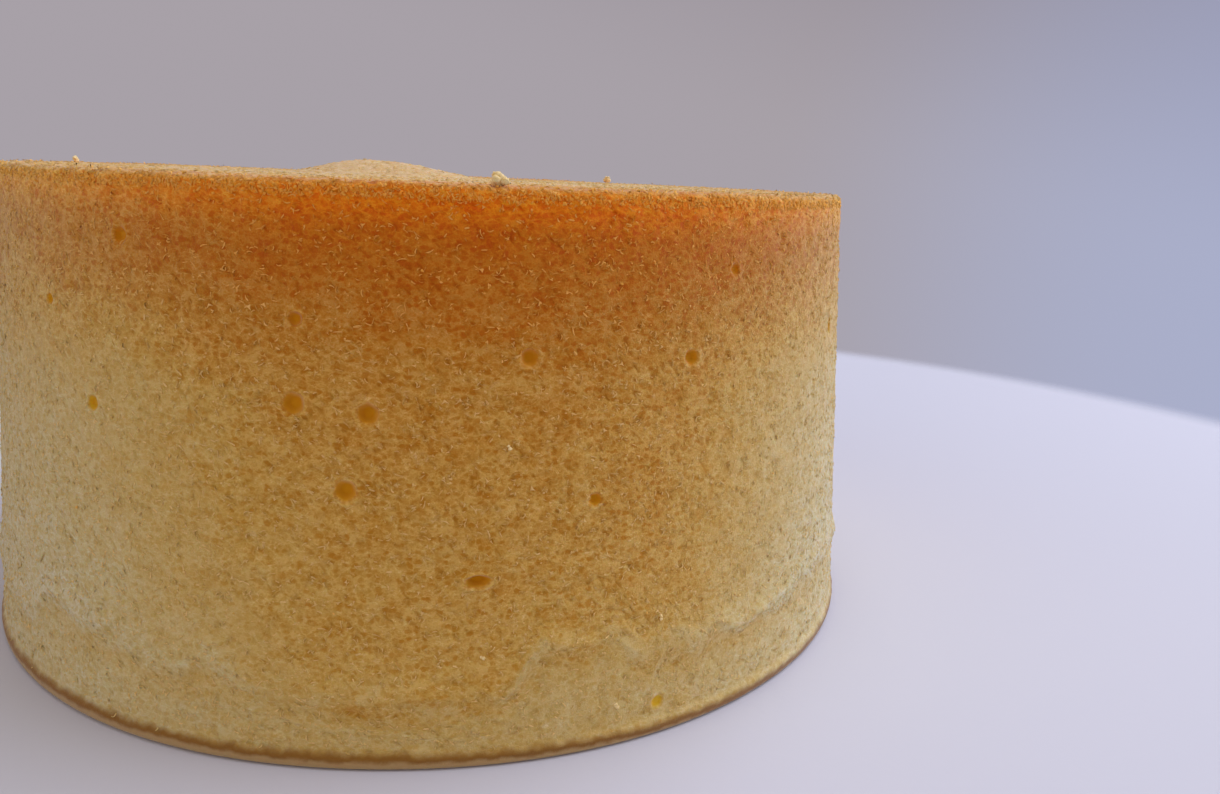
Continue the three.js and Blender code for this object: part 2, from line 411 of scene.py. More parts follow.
@dataclass(frozen=True)
class Browning:
    """How brown the skin is, from 0 for pale crumb to 1 for deep orange.

    Attributes:
        sides: The sides that browned more.
        least_heat: The heat between them.
        low: Brownness of the side's lower part, where the cake is cool and where it is hot.
        high: Brownness just under the rim, in the same two places.
        rise: The heights at which the browning begins and is full.
        curve: How late it comes with height.
        foot: Brownness under the fold, in the same two places.
        crest: How much paler the fold's crest is, and how much browner the hollow under it as painted shade.
        painted_glow: How much paler a hot side is near the rim, and any side on the rim's edge, as painted
            glow of light let through the thin edge.
        painted_glow_depths: Where each of the two begins and is full, in millimetres below the top.
        fold_span: Where the foot's brownness ends and the side's is full, over the fold's line.
        edge_power: How close to the top's edge its browning keeps.
        slope: How much browner the lower part gets with each millimetre of height.
        painted_glow_heights: The heights at which the painted glow begins and is full: skin made lighter
            towards the rim, standing for light let through it.
        top: Brownness of the top's middle.
        top_edge: Brownness of the top's edge, in the same two places.
        top_reach: How far the edge's browning goes in.
        mottle: How uneven it is, in wide patches and in small ones.
        wide_size: How big the wide patches are along each axis.
        small_size: How big the small ones are.
        ragged: How far the browning's lower edge and its end at the fold wander, in millimetres.
        cooling: How fast the lower part gets paler away from a hot side.
        thin_at: Where the crust below is thinner, in degrees.
        thin_reach: How far that goes either way.
        thin_by: How much thinner it is between those places and at them, in millimetres.
    """

    sides: tuple[HotSide, ...] = (
        # The front's browning fades towards both sides of the view, partly as real browning and partly as
        # painted sheen of those grazing sides.
        HotSide(5, 1.0, 9, 68),
        HotSide(98, 0.6, 8, 50),
        HotSide(165, 0.95, 8, 70),
        HotSide(-122, 0.8, 8, 60),
    )
    least_heat: float = 0.1
    low: tuple[float, float] = (-0.2, 0.34)
    high: tuple[float, float] = (0.42, 1.0)
    rise: tuple[float, float] = (42.0, 71.5)
    curve: tuple[float, float] = (0.8, 1.25)
    foot: tuple[float, float] = (-0.22, -0.02)
    crest: float = 0.11
    slope: float = 0.0065
    painted_glow: tuple[float, float] = (0.16, 0.26)
    painted_glow_depths: tuple[tuple[float, float], ...] = ((2.4, 0.6), (0.9, 0.1))
    fold_span: tuple[float, float] = (-3.5, 2.5)
    edge_power: float = 1.5
    painted_glow_heights: tuple[float, float] = (62.0, 73.0)
    top: float = 0.06
    top_edge: tuple[float, float] = (0.2, 0.6)
    top_reach: float = 30.0
    mottle: tuple[float, float] = (0.02, 0.03)
    wide_size: tuple[float, float, float] = (9.0, 9.0, 6.0)
    small_size: tuple[float, float, float] = (2.6, 2.6, 1.8)
    ragged: tuple[float, float] = (1.2, 2.4)
    cooling: float = 2.2
    thin_at: tuple[float, ...] = (38.0, 150.0, 262.0)
    thin_reach: float = 28.0
    thin_by: tuple[float, float] = (-0.15, 0.75)

    def share(self, form: CakeForm, plain: PlainCake, crest: Array) -> Array:
        """Works out the brownness of points on the cake.

        Args:
            form: The cake's sizes.
            plain: The plain cake's vertices.
            crest: How near each is to the fold's crest, up to 1, or to the hollow under it and its painted
                shade, below 0.

        Returns:
            The brownness of each point.
        """
        places = plain.places
        z = places[:, 2]
        wide = field_noise(places, self.wide_size, 30.0)
        small = field_noise(places, self.small_size, 40.0)
        heat = self._heat(plain.degrees) + 0.05 * field_noise(places, 17.0, 60.0)
        heat = np.clip(heat, 0.0, 1.0)
        cooled = heat**self.cooling
        climb = smoothstep(z + self.ragged[0] * wide, *self.rise) ** mix(*self.curve, heat)
        low = mix(*self.low, cooled) + self.slope * (np.minimum(z, self.rise[0]) - 30.0)
        brown = mix(low, mix(*self.high, heat), climb)
        fold = plain.above + self.ragged[1] * field_noise(places, (6.0, 6.0, 3.0), 50.0) + small
        brown = mix(mix(*self.foot, cooled), brown, smoothstep(fold, *self.fold_span))
        # The crest is paler, and the hollow under it is browner as painted shade.
        brown -= self.crest * crest
        # Painted glow: the skin is made paler near the rim, standing for light let through the thin edge.
        for painted_glow, (start, full), warm in zip(self.painted_glow, self.painted_glow_depths, (heat, 1.0)):
            brown -= painted_glow * warm * smoothstep(z, form.height - start, form.height - full)
        inner = form.top_radius - self.top_reach
        edge = smoothstep(plain.radius, inner, form.top_radius - 1.0) ** self.edge_power
        top = mix(self.top, mix(*self.top_edge, heat), edge)
        brown = mix(brown, top, smoothstep(plain.upward, 0.4, 1.0))
        return brown + self.mottle[0] * wide + self.mottle[1] * small

    def light(self, plain: PlainCake) -> Array:
        """Returns how strong the painted glow is towards the rim, from 0 to 1: skin made lighter, standing
        for light let through it.
        """
        climb = smoothstep(plain.places[:, 2], *self.painted_glow_heights) ** 3
        return climb * (1.0 - 0.6 * plain.upward) * mix(0.7, 1.0, self._heat(plain.degrees))

    def thin(self, degrees: Array) -> Array:
        """Returns how much lower the crust reaches at each angle, in millimetres."""
        away = apart(degrees[:, None], np.array(self.thin_at))
        return mix(*self.thin_by, bell(away, 0.0, self.thin_reach).max(1))

    def _heat(self, degrees: Array) -> Array:
        """Works out how hot the pan's wall was.

        Args:
            degrees: Angles from the front towards +X.

        Returns:
            The heat at each angle, up to 1.
        """
        heat = np.full_like(degrees, self.least_heat)
        for side in self.sides:
            fall = smoothstep(apart(degrees, side.at), side.core, side.reach)
            heat = np.maximum(heat, side.heat * (1.0 - fall))
        return heat


@dataclass(frozen=True)
class Sculpt:
    """How deep the crumb's own relief goes, in millimetres, and how much of it there is.

    Attributes:
        pore_share: The part of the vertices that lie in an open pore.
        nub_share: The part of them that stand out as a nub.
        drift: How far they move along the surface, as a share of the faces' size.
        coarse: The size of faces that are too fine for pores and nubs, and of those that have them in full.
        pore_sizes: The least and the greatest depth of a pore, as a share of pore_depth.
        nub_sizes: The same for a nub.
        crumb_from: The heights at which the open crumb begins and is full.
        lumps_from: The same for the lumps.
        top_share: How open the top's crumb is, where the side has 1.
        crest_at: Where the fold's crest lies over its line.
        hollow_at: Where the hollow under it lies.
        ridge_pale: How pale a wrinkle is beside the crest.
        painted_hollow_shade: How much painted shade browns the hollow, for how pale the crest is.
        pit_depth: How deep a pit is for its width.
        pit_wobble: How far its edge is from round.
        pit_ring: How far its edge stands up for its width.
        pit_bowl: How far the pit's side reaches from its mouth towards its middle, for half its width.
        pit_edge: Where the raised edge is highest, for half the width, and how wide it is.
    """

    lumps: float = 0.11
    lump_size: float = 2.6
    grit: float = 0.07
    grit_size: float = 1.0
    pore_depth: float = 0.22
    pore_share: float = 0.13
    nub_height: float = 0.08
    nub_share: float = 0.12
    drift: float = 0.24
    rim_grit: float = 0.1
    coarse: tuple[float, float] = (0.2, 0.4)
    pore_sizes: tuple[float, float] = (0.4, 1.0)
    nub_sizes: tuple[float, float] = (0.2, 1.0)
    crumb_from: tuple[float, float] = (1.5, 3.0)
    lumps_from: tuple[float, float] = (0.9, 2.8)
    top_share: float = 0.6
    crest_at: float = 0.5
    hollow_at: float = -2.0
    ridge_pale: float = 0.6
    painted_hollow_shade: float = 1.35
    crest_height: float = 0.52
    crest_width: float = 2.2
    hollow_depth: float = 0.16
    wrinkle: float = 0.15
    wrinkle_size: tuple[float, float, float] = (8.0, 8.0, 2.6)
    fold_wander: float = 0.8
    fold_grain: float = 6.0
    pit_depth: float = 0.31
    pit_wobble: float = 0.05
    pit_ring: float = 0.05
    pit_bowl: float = 0.75
    pit_edge: tuple[float, float] = (1.22, 0.2)


@dataclass
class CakeBody:
    """The whole cake as one closed mesh: the tapered side, the crumbly rim, the top and the crust base.

    Attributes:
        columns: How many faces its top has each way.
        rows: How many rows of faces its side has.
        pit_cuts: How many cuts go through each face round a pit.
        pit_margin: How far round a pit they go, in millimetres.
        foot_turn: The crust's turn below: how far in, as a share of it, at shares of the crust's height.
        row_shares: The shares of the rows at the ends of the side's bands.
        row_bands: Where the crust's and the fold's bands end, and how wide the rim's is, in millimetres.
    """

    form: CakeForm
    sculpt: Sculpt = field(default_factory=Sculpt)
    browning: Browning = field(default_factory=Browning)
    columns: int = 206
    rows: int = 146
    pit_cuts: int = 4
    pit_margin: float = 0.3
    foot_turn: tuple[tuple[float, float], ...] = (
        (1.0, 0.0), (0.5, 0.02), (0.22, 0.08), (0.06, 0.2), (0.0, 0.4), (0.0, 0.8),
    )
    row_shares: tuple[float, ...] = (0.0, 0.07, 0.32, 0.9, 1.0)
    row_bands: tuple[float, float, float] = (3.4, 21.5, 4.5)
    seed: int = 7
    name: str = "cake_sponge"

    def build(self, finish: "SpongeFinish") -> bpy.types.Object:
        """Models the cake and dresses it.

        Args:
            finish: What the cake is made of.

        Returns:
            The finished piece.
        """
        bm = self._block()
        self._wrap(bm)
        self._refine_pits(bm)
        self._sculpt(bm)
        bmesh.ops.recalc_face_normals(bm, faces=bm.faces)
        bmesh.ops.scale(bm, verts=bm.verts, vec=(MM, MM, MM))
        mesh = bpy.data.meshes.new(self.name)
        bm.to_mesh(mesh)
        bm.free()
        return tie_piece(mesh, self.name, finish.material())

    def _block(self) -> BMesh:
        """Cuts a cube into columns and rows.

        Returns:
            A cube of size 2, with one flat face below.
        """
        bm = bmesh.new()
        bmesh.ops.create_cube(bm, size=2.0)
        upright = [edge for edge in bm.edges if abs(edge.verts[0].co.z - edge.verts[1].co.z) > 1.0]
        bmesh.ops.subdivide_edges(bm, edges=upright, cuts=self.rows - 1, use_grid_fill=True)
        level = [edge for edge in bm.edges if abs(edge.verts[0].co.z - edge.verts[1].co.z) < 1e-6]
        bmesh.ops.subdivide_edges(bm, edges=level, cuts=self.columns - 1, use_grid_fill=True)
        under = [face for face in bm.faces if all(vert.co.z < -0.9999 for vert in face.verts)]
        bmesh.ops.dissolve_faces(bm, faces=under, use_verts=True)
        return bm

    def _side_outline(self) -> tuple[Array, Array]:
        """Lays the rows of the side, from the base to the rim's inner edge.

        Returns:
            The radius and the height of each row.
        """
        form = self.form
        shoulder = form.height - form.rim_rounding
        turn = np.array(self.foot_turn)
        lip = form.base_radius + form.crust_lip - turn[:, 0] * (form.crust_turn + form.crust_lip)
        low = list(zip(lip, turn[:, 1] * form.crust_height))
        side_heights = np.linspace(form.crust_height * 1.2, shoulder, 60)
        side = list(zip(form.cone_radius(side_heights), side_heights))
        turns = np.radians(np.linspace(0, 90, 8)[1:])
        centre = form.cone_radius(shoulder) - form.rim_rounding
        edge_radii = centre + form.rim_rounding * np.cos(turns)
        edge = list(zip(edge_radii, shoulder + form.rim_rounding * np.sin(turns)))
        outline = np.array(low + side + edge)
        length = np.concatenate([[0.0], np.cumsum(np.hypot(*np.diff(outline, axis=0).T))])
        crust, fold, rim = self.row_bands
        reach = (0.0, crust, fold, length[-1] - rim, length[-1])
        rows = np.interp(np.linspace(0, 1, self.rows + 1), self.row_shares, reach)
        return np.interp(rows, length, outline[:, 0]), np.interp(rows, length, outline[:, 1])

    def _wrap(self, bm: BMesh) -> None:
        """Moves the block's vertices to the plain cake.

        Args:
            bm: The cake's mesh.
        """
        x, y, z = read_places(bm).T
        disc_x = x * np.sqrt(1.0 - y * y / 2.0)
        disc_y = y * np.sqrt(1.0 - x * x / 2.0)
        row = np.clip(np.rint((z + 1.0) / 2.0 * self.rows).astype(int), 0, self.rows)
        radii, heights = self._side_outline()
        write_places(bm, np.column_stack([disc_x * radii[row], disc_y * radii[row], heights[row]]))

    def _refine_pits(self, bm: BMesh) -> None:
        """Cuts the faces round each pit finer.

        Args:
            bm: The cake's mesh.
        """
        form = self.form
        spots = [(form.side_place(pit.angle, pit.z), pit.width) for pit in form.pits]
        spots += [(Vector((top.x, top.y, form.height)), top.width) for top in form.tops]
        faces = [face for face in bm.faces if len(face.verts) == 4]
        middles = np.array([face.calc_center_median() for face in faces])
        near = np.zeros(len(faces), bool)
        for spot, width in spots:
            near |= np.linalg.norm(middles - np.array(spot), axis=1) < width / 2.0 + self.pit_margin
        edges = {edge for face, chosen in zip(faces, near) if chosen for edge in face.edges}
        bmesh.ops.subdivide_edges(bm, edges=list(edges), cuts=self.pit_cuts, use_grid_fill=True)
        bmesh.ops.triangulate(bm, faces=[face for face in bm.faces if 4 < len(face.verts) < self.columns])

    def _sculpt(self, bm: BMesh) -> None:
        """Moves the plain cake's vertices to the uneven one, and writes the numbers that the finish reads.

        Args:
            bm: The cake's mesh.
        """
        form, browning = self.form, self.browning
        plain = PlainCake(form, read_places(bm))
        lift, push, pale = self._fold(plain)
        push += plain.on_side * form.side_wave * form.side_waves.at(plain.angle, plain.places[:, 2])
        crumb, drift, pore = self._crumb(bm, plain)
        moves = plain.outward * push[:, None] + UP * (lift + self._rise(plain))[:, None]
        moved = plain.places + moves * plain.free
        depth, ring = self._sink_pits(moved, plain.places)
        moved += (plain.normal * crumb[:, None] * plain.free + drift) * (1.0 - depth)[:, None]
        write_places(bm, moved)
        numbers = {
            "brown": browning.share(form, plain, pale),
            # light carries the painted glow towards the rim.
            "light": browning.light(plain),
            "pore": pore * (depth < 0.05),
            "pit": depth,
            "thin": browning.thin(plain.degrees),
            "ring": ring,
            "top": plain.upward,
        }
        for name, values in numbers.items():
            write_number(bm, name, values)

    def _fold(self, plain: PlainCake) -> tuple[Array, Array, Array]:
        """Works out the fold low on the side.

        Args:
            plain: The plain cake's vertices.

        Returns:
            How far each vertex is lifted, how far it is pushed out, and how near it is to the fold's crest,
            up to 1, or to the hollow under it, below 0.
        """
        form, sculpt = self.form, self.sculpt
        z = plain.places[:, 2]
        wander = sculpt.fold_wander * field_noise(plain.places, sculpt.fold_grain, 3.0)
        fold_z, strength = form.fold_at(plain.degrees)
        by_fold = smoothstep(z, form.crust_height, form.fold_height - 2.0)
        by_fold *= 1.0 - smoothstep(z, form.fold_height + 2.0, form.fold_height + 3.0 * form.fold_reach)
        lift = by_fold * (fold_z + wander - form.fold_height)
        strength = strength * plain.on_side
        strength *= np.clip(1.0 + 0.5 * field_noise(plain.places, 9.0, 13.0), 0.3, 1.4)
        crest = bell(plain.above, sculpt.crest_at, sculpt.crest_width) * strength
        hollow = bell(plain.above, sculpt.hollow_at, sculpt.crest_width) * strength
        ridge = np.clip(1.0 - 2.6 * np.abs(field_noise(plain.places, sculpt.wrinkle_size, 17.0)), 0.0, 1.0)
        ridge *= bell(plain.above, 1.0, 4.5) * plain.on_side
        push = sculpt.crest_height * crest - sculpt.hollow_depth * hollow + sculpt.wrinkle * ridge
        push += plain.on_side * (form.cone_radius(z + lift) - form.cone_radius(z))
        # The hollow's negative share is painted shade under the crest.
        pale = crest + sculpt.ridge_pale * ridge - sculpt.painted_hollow_shade * hollow
        return lift, push, np.clip(pale, -sculpt.painted_hollow_shade, 1.0)

    def _rise(self, plain: PlainCake) -> Array:
        """Works out how far the rim, the top and the mound rise.

        Args:
            plain: The plain cake's vertices.

        Returns:
            How far each vertex rises.
        """
        form = self.form
        x, y, _ = plain.places.T
        rim = plain.on_side * form.rim_wave * form.rim_waves.at(plain.angle, 0.0)
        inner = (1.0 - plain.on_side) * plain.radius / form.top_radius
        top = inner * form.top_wave * form.top_waves.at(plain.angle, 0.0)
        lean = form.top_lean * y / form.top_radius
        return plain.on_top * (rim + top - lean) + np.where(plain.flat_top, form.mound(x, y), 0.0)

    def _crumb(self, bm: BMesh, plain: PlainCake) -> tuple[Array, Array, Array]:
        """Works out the crumb's own relief.

        Args:
            bm: The cake's mesh.
            plain: Its vertices.

        Returns:
            How far each vertex stands out, how it drifts along the surface, and how open a pore it lies in.
        """
        form, sculpt = self.form, self.sculpt
        places = plain.places
        z = places[:, 2]
        count = len(places)
        rng = np.random.default_rng(self.seed)
        size = np.array([sum(e.calc_length() for e in v.link_edges) / len(v.link_edges) for v in bm.verts])
        coarse = smoothstep(size, *sculpt.coarse) * smoothstep(z, *sculpt.crumb_from)
        chance = rng.random(count)
        pore = np.where(chance < sculpt.pore_share, rng.uniform(*sculpt.pore_sizes, count), 0.0) * coarse
        nub = np.where(chance > 1.0 - sculpt.nub_share, rng.uniform(*sculpt.nub_sizes, count), 0.0) * coarse
        crumb = sculpt.lumps * field_noise(places, sculpt.lump_size, 0.0) * smoothstep(z, *sculpt.lumps_from)
        crumb += sculpt.grit * field_noise(places, sculpt.grit_size, 9.0) * coarse
        open_crumb = sculpt.nub_height * nub - sculpt.pore_depth * pore
        crumb += open_crumb * mix(1.0, sculpt.top_share, plain.upward)
        rim = plain.on_top * smoothstep(plain.radius, form.top_radius - 3.0, form.top_radius - 0.8)
        crumb += rim * sculpt.rim_grit * rng.uniform(-1.0, 1.0, count) * coarse
        drift = rng.uniform(-1.0, 1.0, places.shape) * (sculpt.drift * size * coarse)[:, None]
        drift -= plain.normal * np.sum(drift * plain.normal, axis=1)[:, None]
        return crumb, drift, np.clip(pore - 0.4 * nub, -0.4, 1.0)

    def _sink_pits(self, moved: Array, places: Array) -> tuple[Array, Array]:
        """Presses the pits into the surface.

        Args:
            moved: The vertices' new places, which are changed.
            places: Where the vertices were on the plain cake.

        Returns:
            How deep each vertex lies in a pit, and how near it is to a pit's edge, both from 0 to 1.
        """
        marks = np.zeros(len(places)), np.zeros(len(places))
        for pit in self.form.pits:
            angle = math.radians(pit.angle)
            out = np.array([math.sin(angle), -math.cos(angle), 0.0])
            across = np.array([math.cos(angle), math.sin(angle), 0.0])
            centre = np.array(self.form.side_place(pit.angle, pit.z))
            size = (pit.width, pit.tall, pit.strength)
            self._sink(moved, places, marks, centre, (out, across), size)
        for top in self.form.tops:
            centre = np.array([top.x, top.y, self.form.height])
            self._sink(moved, places, marks, centre, (UP, np.array([1.0, 0.0, 0.0])), (top.width, 1.0, 1.0))
        return marks

    def _sink(self, moved: Array, places: Array, marks: tuple[Array, Array], centre: Array,
              axes: tuple[Array, Array], size: tuple[float, float, float]) -> None:
        """Presses one pit into the surface.

        Args:
            moved: The vertices' new places, which are changed.
            places: Where the vertices were.
            marks: How deep each vertex lies and how near an edge it is, which are changed.
            centre: The middle of the pit's mouth.
            axes: The way out of the pit, and the way across it.
            size: Its width, its height for its width, and its strength.
        """
        depth, ring = marks
        out, across = axes
        width, tall, strength = size
        near = np.flatnonzero(np.linalg.norm(places - centre, axis=1) < width * 1.2)
        offset = places[near] - centre
        u = offset @ across / (width / 2.0)
        v = offset @ np.cross(out, across) / (width / 2.0 * tall)
        turn = np.arctan2(v, u)
        wobble = self.sculpt.pit_wobble * np.sin(2 * turn + centre[0]) * np.cos(3 * turn)
        away = np.hypot(u, v) * (1.0 + wobble)
        bowl = strength * smoothstep(1.1 - away, 0.0, self.sculpt.pit_bowl)
        edge = strength * bell(away, *self.sculpt.pit_edge)
        moved[near] -= out * ((bowl * self.sculpt.pit_depth - edge * self.sculpt.pit_ring) * width)[:, None]
        depth[near] = np.maximum(depth[near], bowl)
        ring[near] = np.maximum(ring[near], edge)


def read_places(bm: BMesh) -> Array:
    """Returns the places of a mesh's vertices, one row each."""
    return np.array([vert.co for vert in bm.verts])


def write_places(bm: BMesh, places: Array) -> None:
    """Puts each vertex of a mesh at its place."""
    for vert, place in zip(bm.verts, places):
        vert.co = place


def write_number(bm: BMesh, name: str, values: Array) -> None:
    """Keeps one number for each vertex, for the finish to read.

    Args:
        bm: The mesh.
        name: What the numbers are called.
        values: The numbers.
    """
    layer = bm.verts.layers.float.new(name)
    for vert, value in zip(bm.verts, values):
        vert[layer] = value


def tie_piece(mesh: bpy.types.Mesh, name: str, material: bpy.types.Material) -> bpy.types.Object:
    """Shows a mesh as a smooth piece that stands for the cake's solid.

    Args:
        mesh: The piece's mesh, in metres.
        name: The piece's name.
        material: What it is made of.

    Returns:
        The piece.
    """
    mesh.polygons.foreach_set("use_smooth", np.ones(len(mesh.polygons), bool))
    mesh.materials.append(material)
    piece = bpy.data.objects.new(name, mesh)
    bpy.context.scene.collection.objects.link(piece)
    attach(piece, BODY)
    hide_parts(NODE)
    mesh.calc_loop_triangles()
    log.info("%s: %d triangles", name, len(mesh.loop_triangles))
    return piece


@dataclass
class Spots:
    """Places on the cake where crumbs lie, one row for each crumb.

    Attributes:
        places: Where they are, in millimetres.
        normals: Which way the surface faces.
        centres: What each crumb bends round, or the place itself.
        numbers: The skin's own numbers there, by name.
    """

    places: Array
    normals: Array
    centres: Array
    numbers: dict[str, Array]


SKIN_NUMBERS = ("brown", "light", "top")


class Surface:
    """The finished cake's surface, for strewing crumbs on.

    Attributes:
        lowest: The height over which crumbs lie.
        on_top: How thickly they lie on the top, where the side has 1.
        rim_reach: How far the rim goes down, and how far in.
        rim_on_top: How thickly the rim's crumbs lie on the top, where the side has 1.
        open_pore: How open a pore has edges round it.
        pore_lift: How far a pore's mouth lies over its bottom.
    """

    lowest: float = 3.2
    on_top: float = 0.55
    rim_reach: tuple[float, float] = (1.5, 1.6)
    rim_on_top: float = 0.08
    open_pore: float = 0.3
    pore_lift: float = 0.22

    def __init__(self, cake: bpy.types.Object, form: CakeForm) -> None:
        """Reads the surface.

        Args:
            cake: The finished cake, in metres.
            form: Its sizes.
        """
        mesh = cake.data
        mesh.calc_loop_triangles()
        corners = np.empty(len(mesh.loop_triangles) * 3, np.int32)
        mesh.loop_triangles.foreach_get("vertices", corners)
        self.corners = corners.reshape(-1, 3)
        self.places = self._read(mesh.vertices, "co", 3).reshape(-1, 3) / MM
        self.normals = self._read(mesh.vertices, "normal", 3).reshape(-1, 3)
        names = SKIN_NUMBERS + ("pore", "pit")
        self.numbers = {name: self._read(mesh.attributes[name].data, "value", 1) for name in names}
        triangles = self.places[self.corners]
        middles = triangles.mean(1)
        cross = np.cross(triangles[:, 1] - triangles[:, 0], triangles[:, 2] - triangles[:, 0])
        self.facing = unit(cross)
        top, pit = (self.numbers[name][self.corners].mean(1) for name in ("top", "pit"))
        area = np.linalg.norm(cross, axis=1) / 2.0 * (middles[:, 2] > self.lowest) * (pit < 0.02)
        self.open = area * mix(1.0, self.on_top, top)
        down, inward = self.rim_reach
        rim = (middles[:, 2] > form.height - down) & (np.hypot(*middles[:, :2].T) > form.top_radius - inward)
        self.rim = area * rim * mix(1.0, self.rim_on_top, top)

    def _read(self, items: bpy.types.bpy_prop_collection, name: str, width: int) -> Array:
        """Reads one property of many items.

        Args:
            items: The items.
            name: The property's name.
            width: How many numbers each item has.

        Returns:
            The numbers in one row.
        """
        values = np.empty(len(items) * width, np.float32)
        items.foreach_get(name, values)
        return values.astype(float)

    def scatter(self, count: int, rim_share: float, rng: np.random.Generator) -> Spots:
        """Draws places all over the surface.

        Args:
            count: How many.
            rim_share: The part of them that lies along the rim.
            rng: Where the draws come from.

        Returns:
            The places.
        """
        on_rim = int(count * rim_share)
        picks = [rng.choice(len(weight), size=number, p=weight / weight.sum())
                 for weight, number in ((self.open, count - on_rim), (self.rim, on_rim))]
        index = np.concatenate(picks)
        shares = rng.dirichlet((1.0, 1.0, 1.0), count)
        corners = self.corners[index]
        places = np.einsum("nk,nkj->nj", shares, self.places[corners])
        numbers = {name: np.sum(self.numbers[name][corners] * shares, axis=1) for name in SKIN_NUMBERS}
        return Spots(places, self.facing[index], places, numbers)

    def round_pores(self, count: int, gap: tuple[float, float], rng: np.random.Generator) -> Spots:
        """Draws places round the open pores.

        Args:
            count: How many.
            gap: Least and greatest distance from the pore's middle, in millimetres.
            rng: Where the draws come from.

        Returns:
            The places, each with its pore's middle as the centre.
        """
        pores = np.flatnonzero(self.numbers["pore"] > self.open_pore)
        index = rng.choice(pores, size=count)
        normals = self.normals[index]
        lean = rng.normal(size=(count, 3))
        away = unit(lean - normals * np.sum(lean * normals, axis=1)[:, None])
        centres = self.places[index] + normals * self.pore_lift
        places = centres + away * rng.uniform(*gap, count)[:, None]
        return Spots(places, normals, centres, {name: self.numbers[name][index] for name in SKIN_NUMBERS})


class CrumbShape(Enum):
    """The shapes of small crumbs."""

    SHRED = "a sliver of cell wall"
    THREAD = "a long, thin, bent edge of a cell"
    FORK = "the stub of three cell walls that meet"
    GRAIN = "a rounded grain"
    LUMP = "an uneven lump"


@dataclass(frozen=True)
class CrumbKind:
    """One kind of small crumb, and how it lies on the cake.

    Attributes:
        name: The piece's name.
        shape: What each crumb looks like.
        count: How many there are.
        lengths: Least and greatest length, in millimetres.
        widths: Least and greatest width.
        bend: Least and greatest bend, as a share of the length.
        lift: How far its middle stands off the surface.
        stand: How far it may tip up off the surface, from 0 to 1.
        upright: How strongly it points up.
        rim_share: The part of them that lies along the rim.
        round_pores: Whether they lie round the open pores.
        seed: Starts their draws.
    """

    name: str
    shape: CrumbShape
    count: int
    lengths: tuple[float, float]
    widths: tuple[float, float]
    bend: tuple[float, float]
    lift: float
    stand: float
    upright: float
    rim_share: float
    round_pores: bool
    seed: int


CRUMB_KINDS = (
    CrumbKind("cell_wall_shreds", CrumbShape.SHRED, 11000, (0.3, 0.95), (0.15, 0.28), (-0.6, 0.6),
              0.02, 0.3, 0.0, 0.06, False, 21),
    CrumbKind("rim_bristles", CrumbShape.SHRED, 1500, (0.4, 0.85), (0.12, 0.22), (-0.4, 0.4),
              0.1, 0.3, 1.6, 1.0, False, 27),
    CrumbKind("cell_wall_threads", CrumbShape.THREAD, 7900, (0.7, 1.5), (0.12, 0.2), (-0.7, 0.7),
              0.02, 0.15, 0.0, 0.06, False, 22),
    CrumbKind("cell_wall_forks", CrumbShape.FORK, 11500, (0.5, 1.1), (0.5, 1.1), (0.0, 0.0),
              0.03, 0.2, 0.0, 0.06, False, 23),
    CrumbKind("pore_edges", CrumbShape.THREAD, 7900, (0.5, 0.95), (0.12, 0.21), (0.5, 1.0),
              -0.02, 0.1, 0.0, 0.0, True, 24),
    CrumbKind("crumb_grains", CrumbShape.GRAIN, 5600, (0.25, 0.55), (0.2, 0.4), (0.0, 0.0),
              0.02, 0.3, 0.0, 0.10, False, 25),
    CrumbKind("rim_crumbs", CrumbShape.LUMP, 900, (0.25, 0.6), (0.2, 0.4), (0.0, 0.0),
              0.06, 0.8, 0.0, 0.92, False, 26),
)
PORE_GAP = (0.34, 0.52)


@dataclass(frozen=True)
class Template:
    """A small closed mesh that crumbs are copied from: its vertices, about 1 long in X, and its triangles."""

    verts: Array
    faces: Array


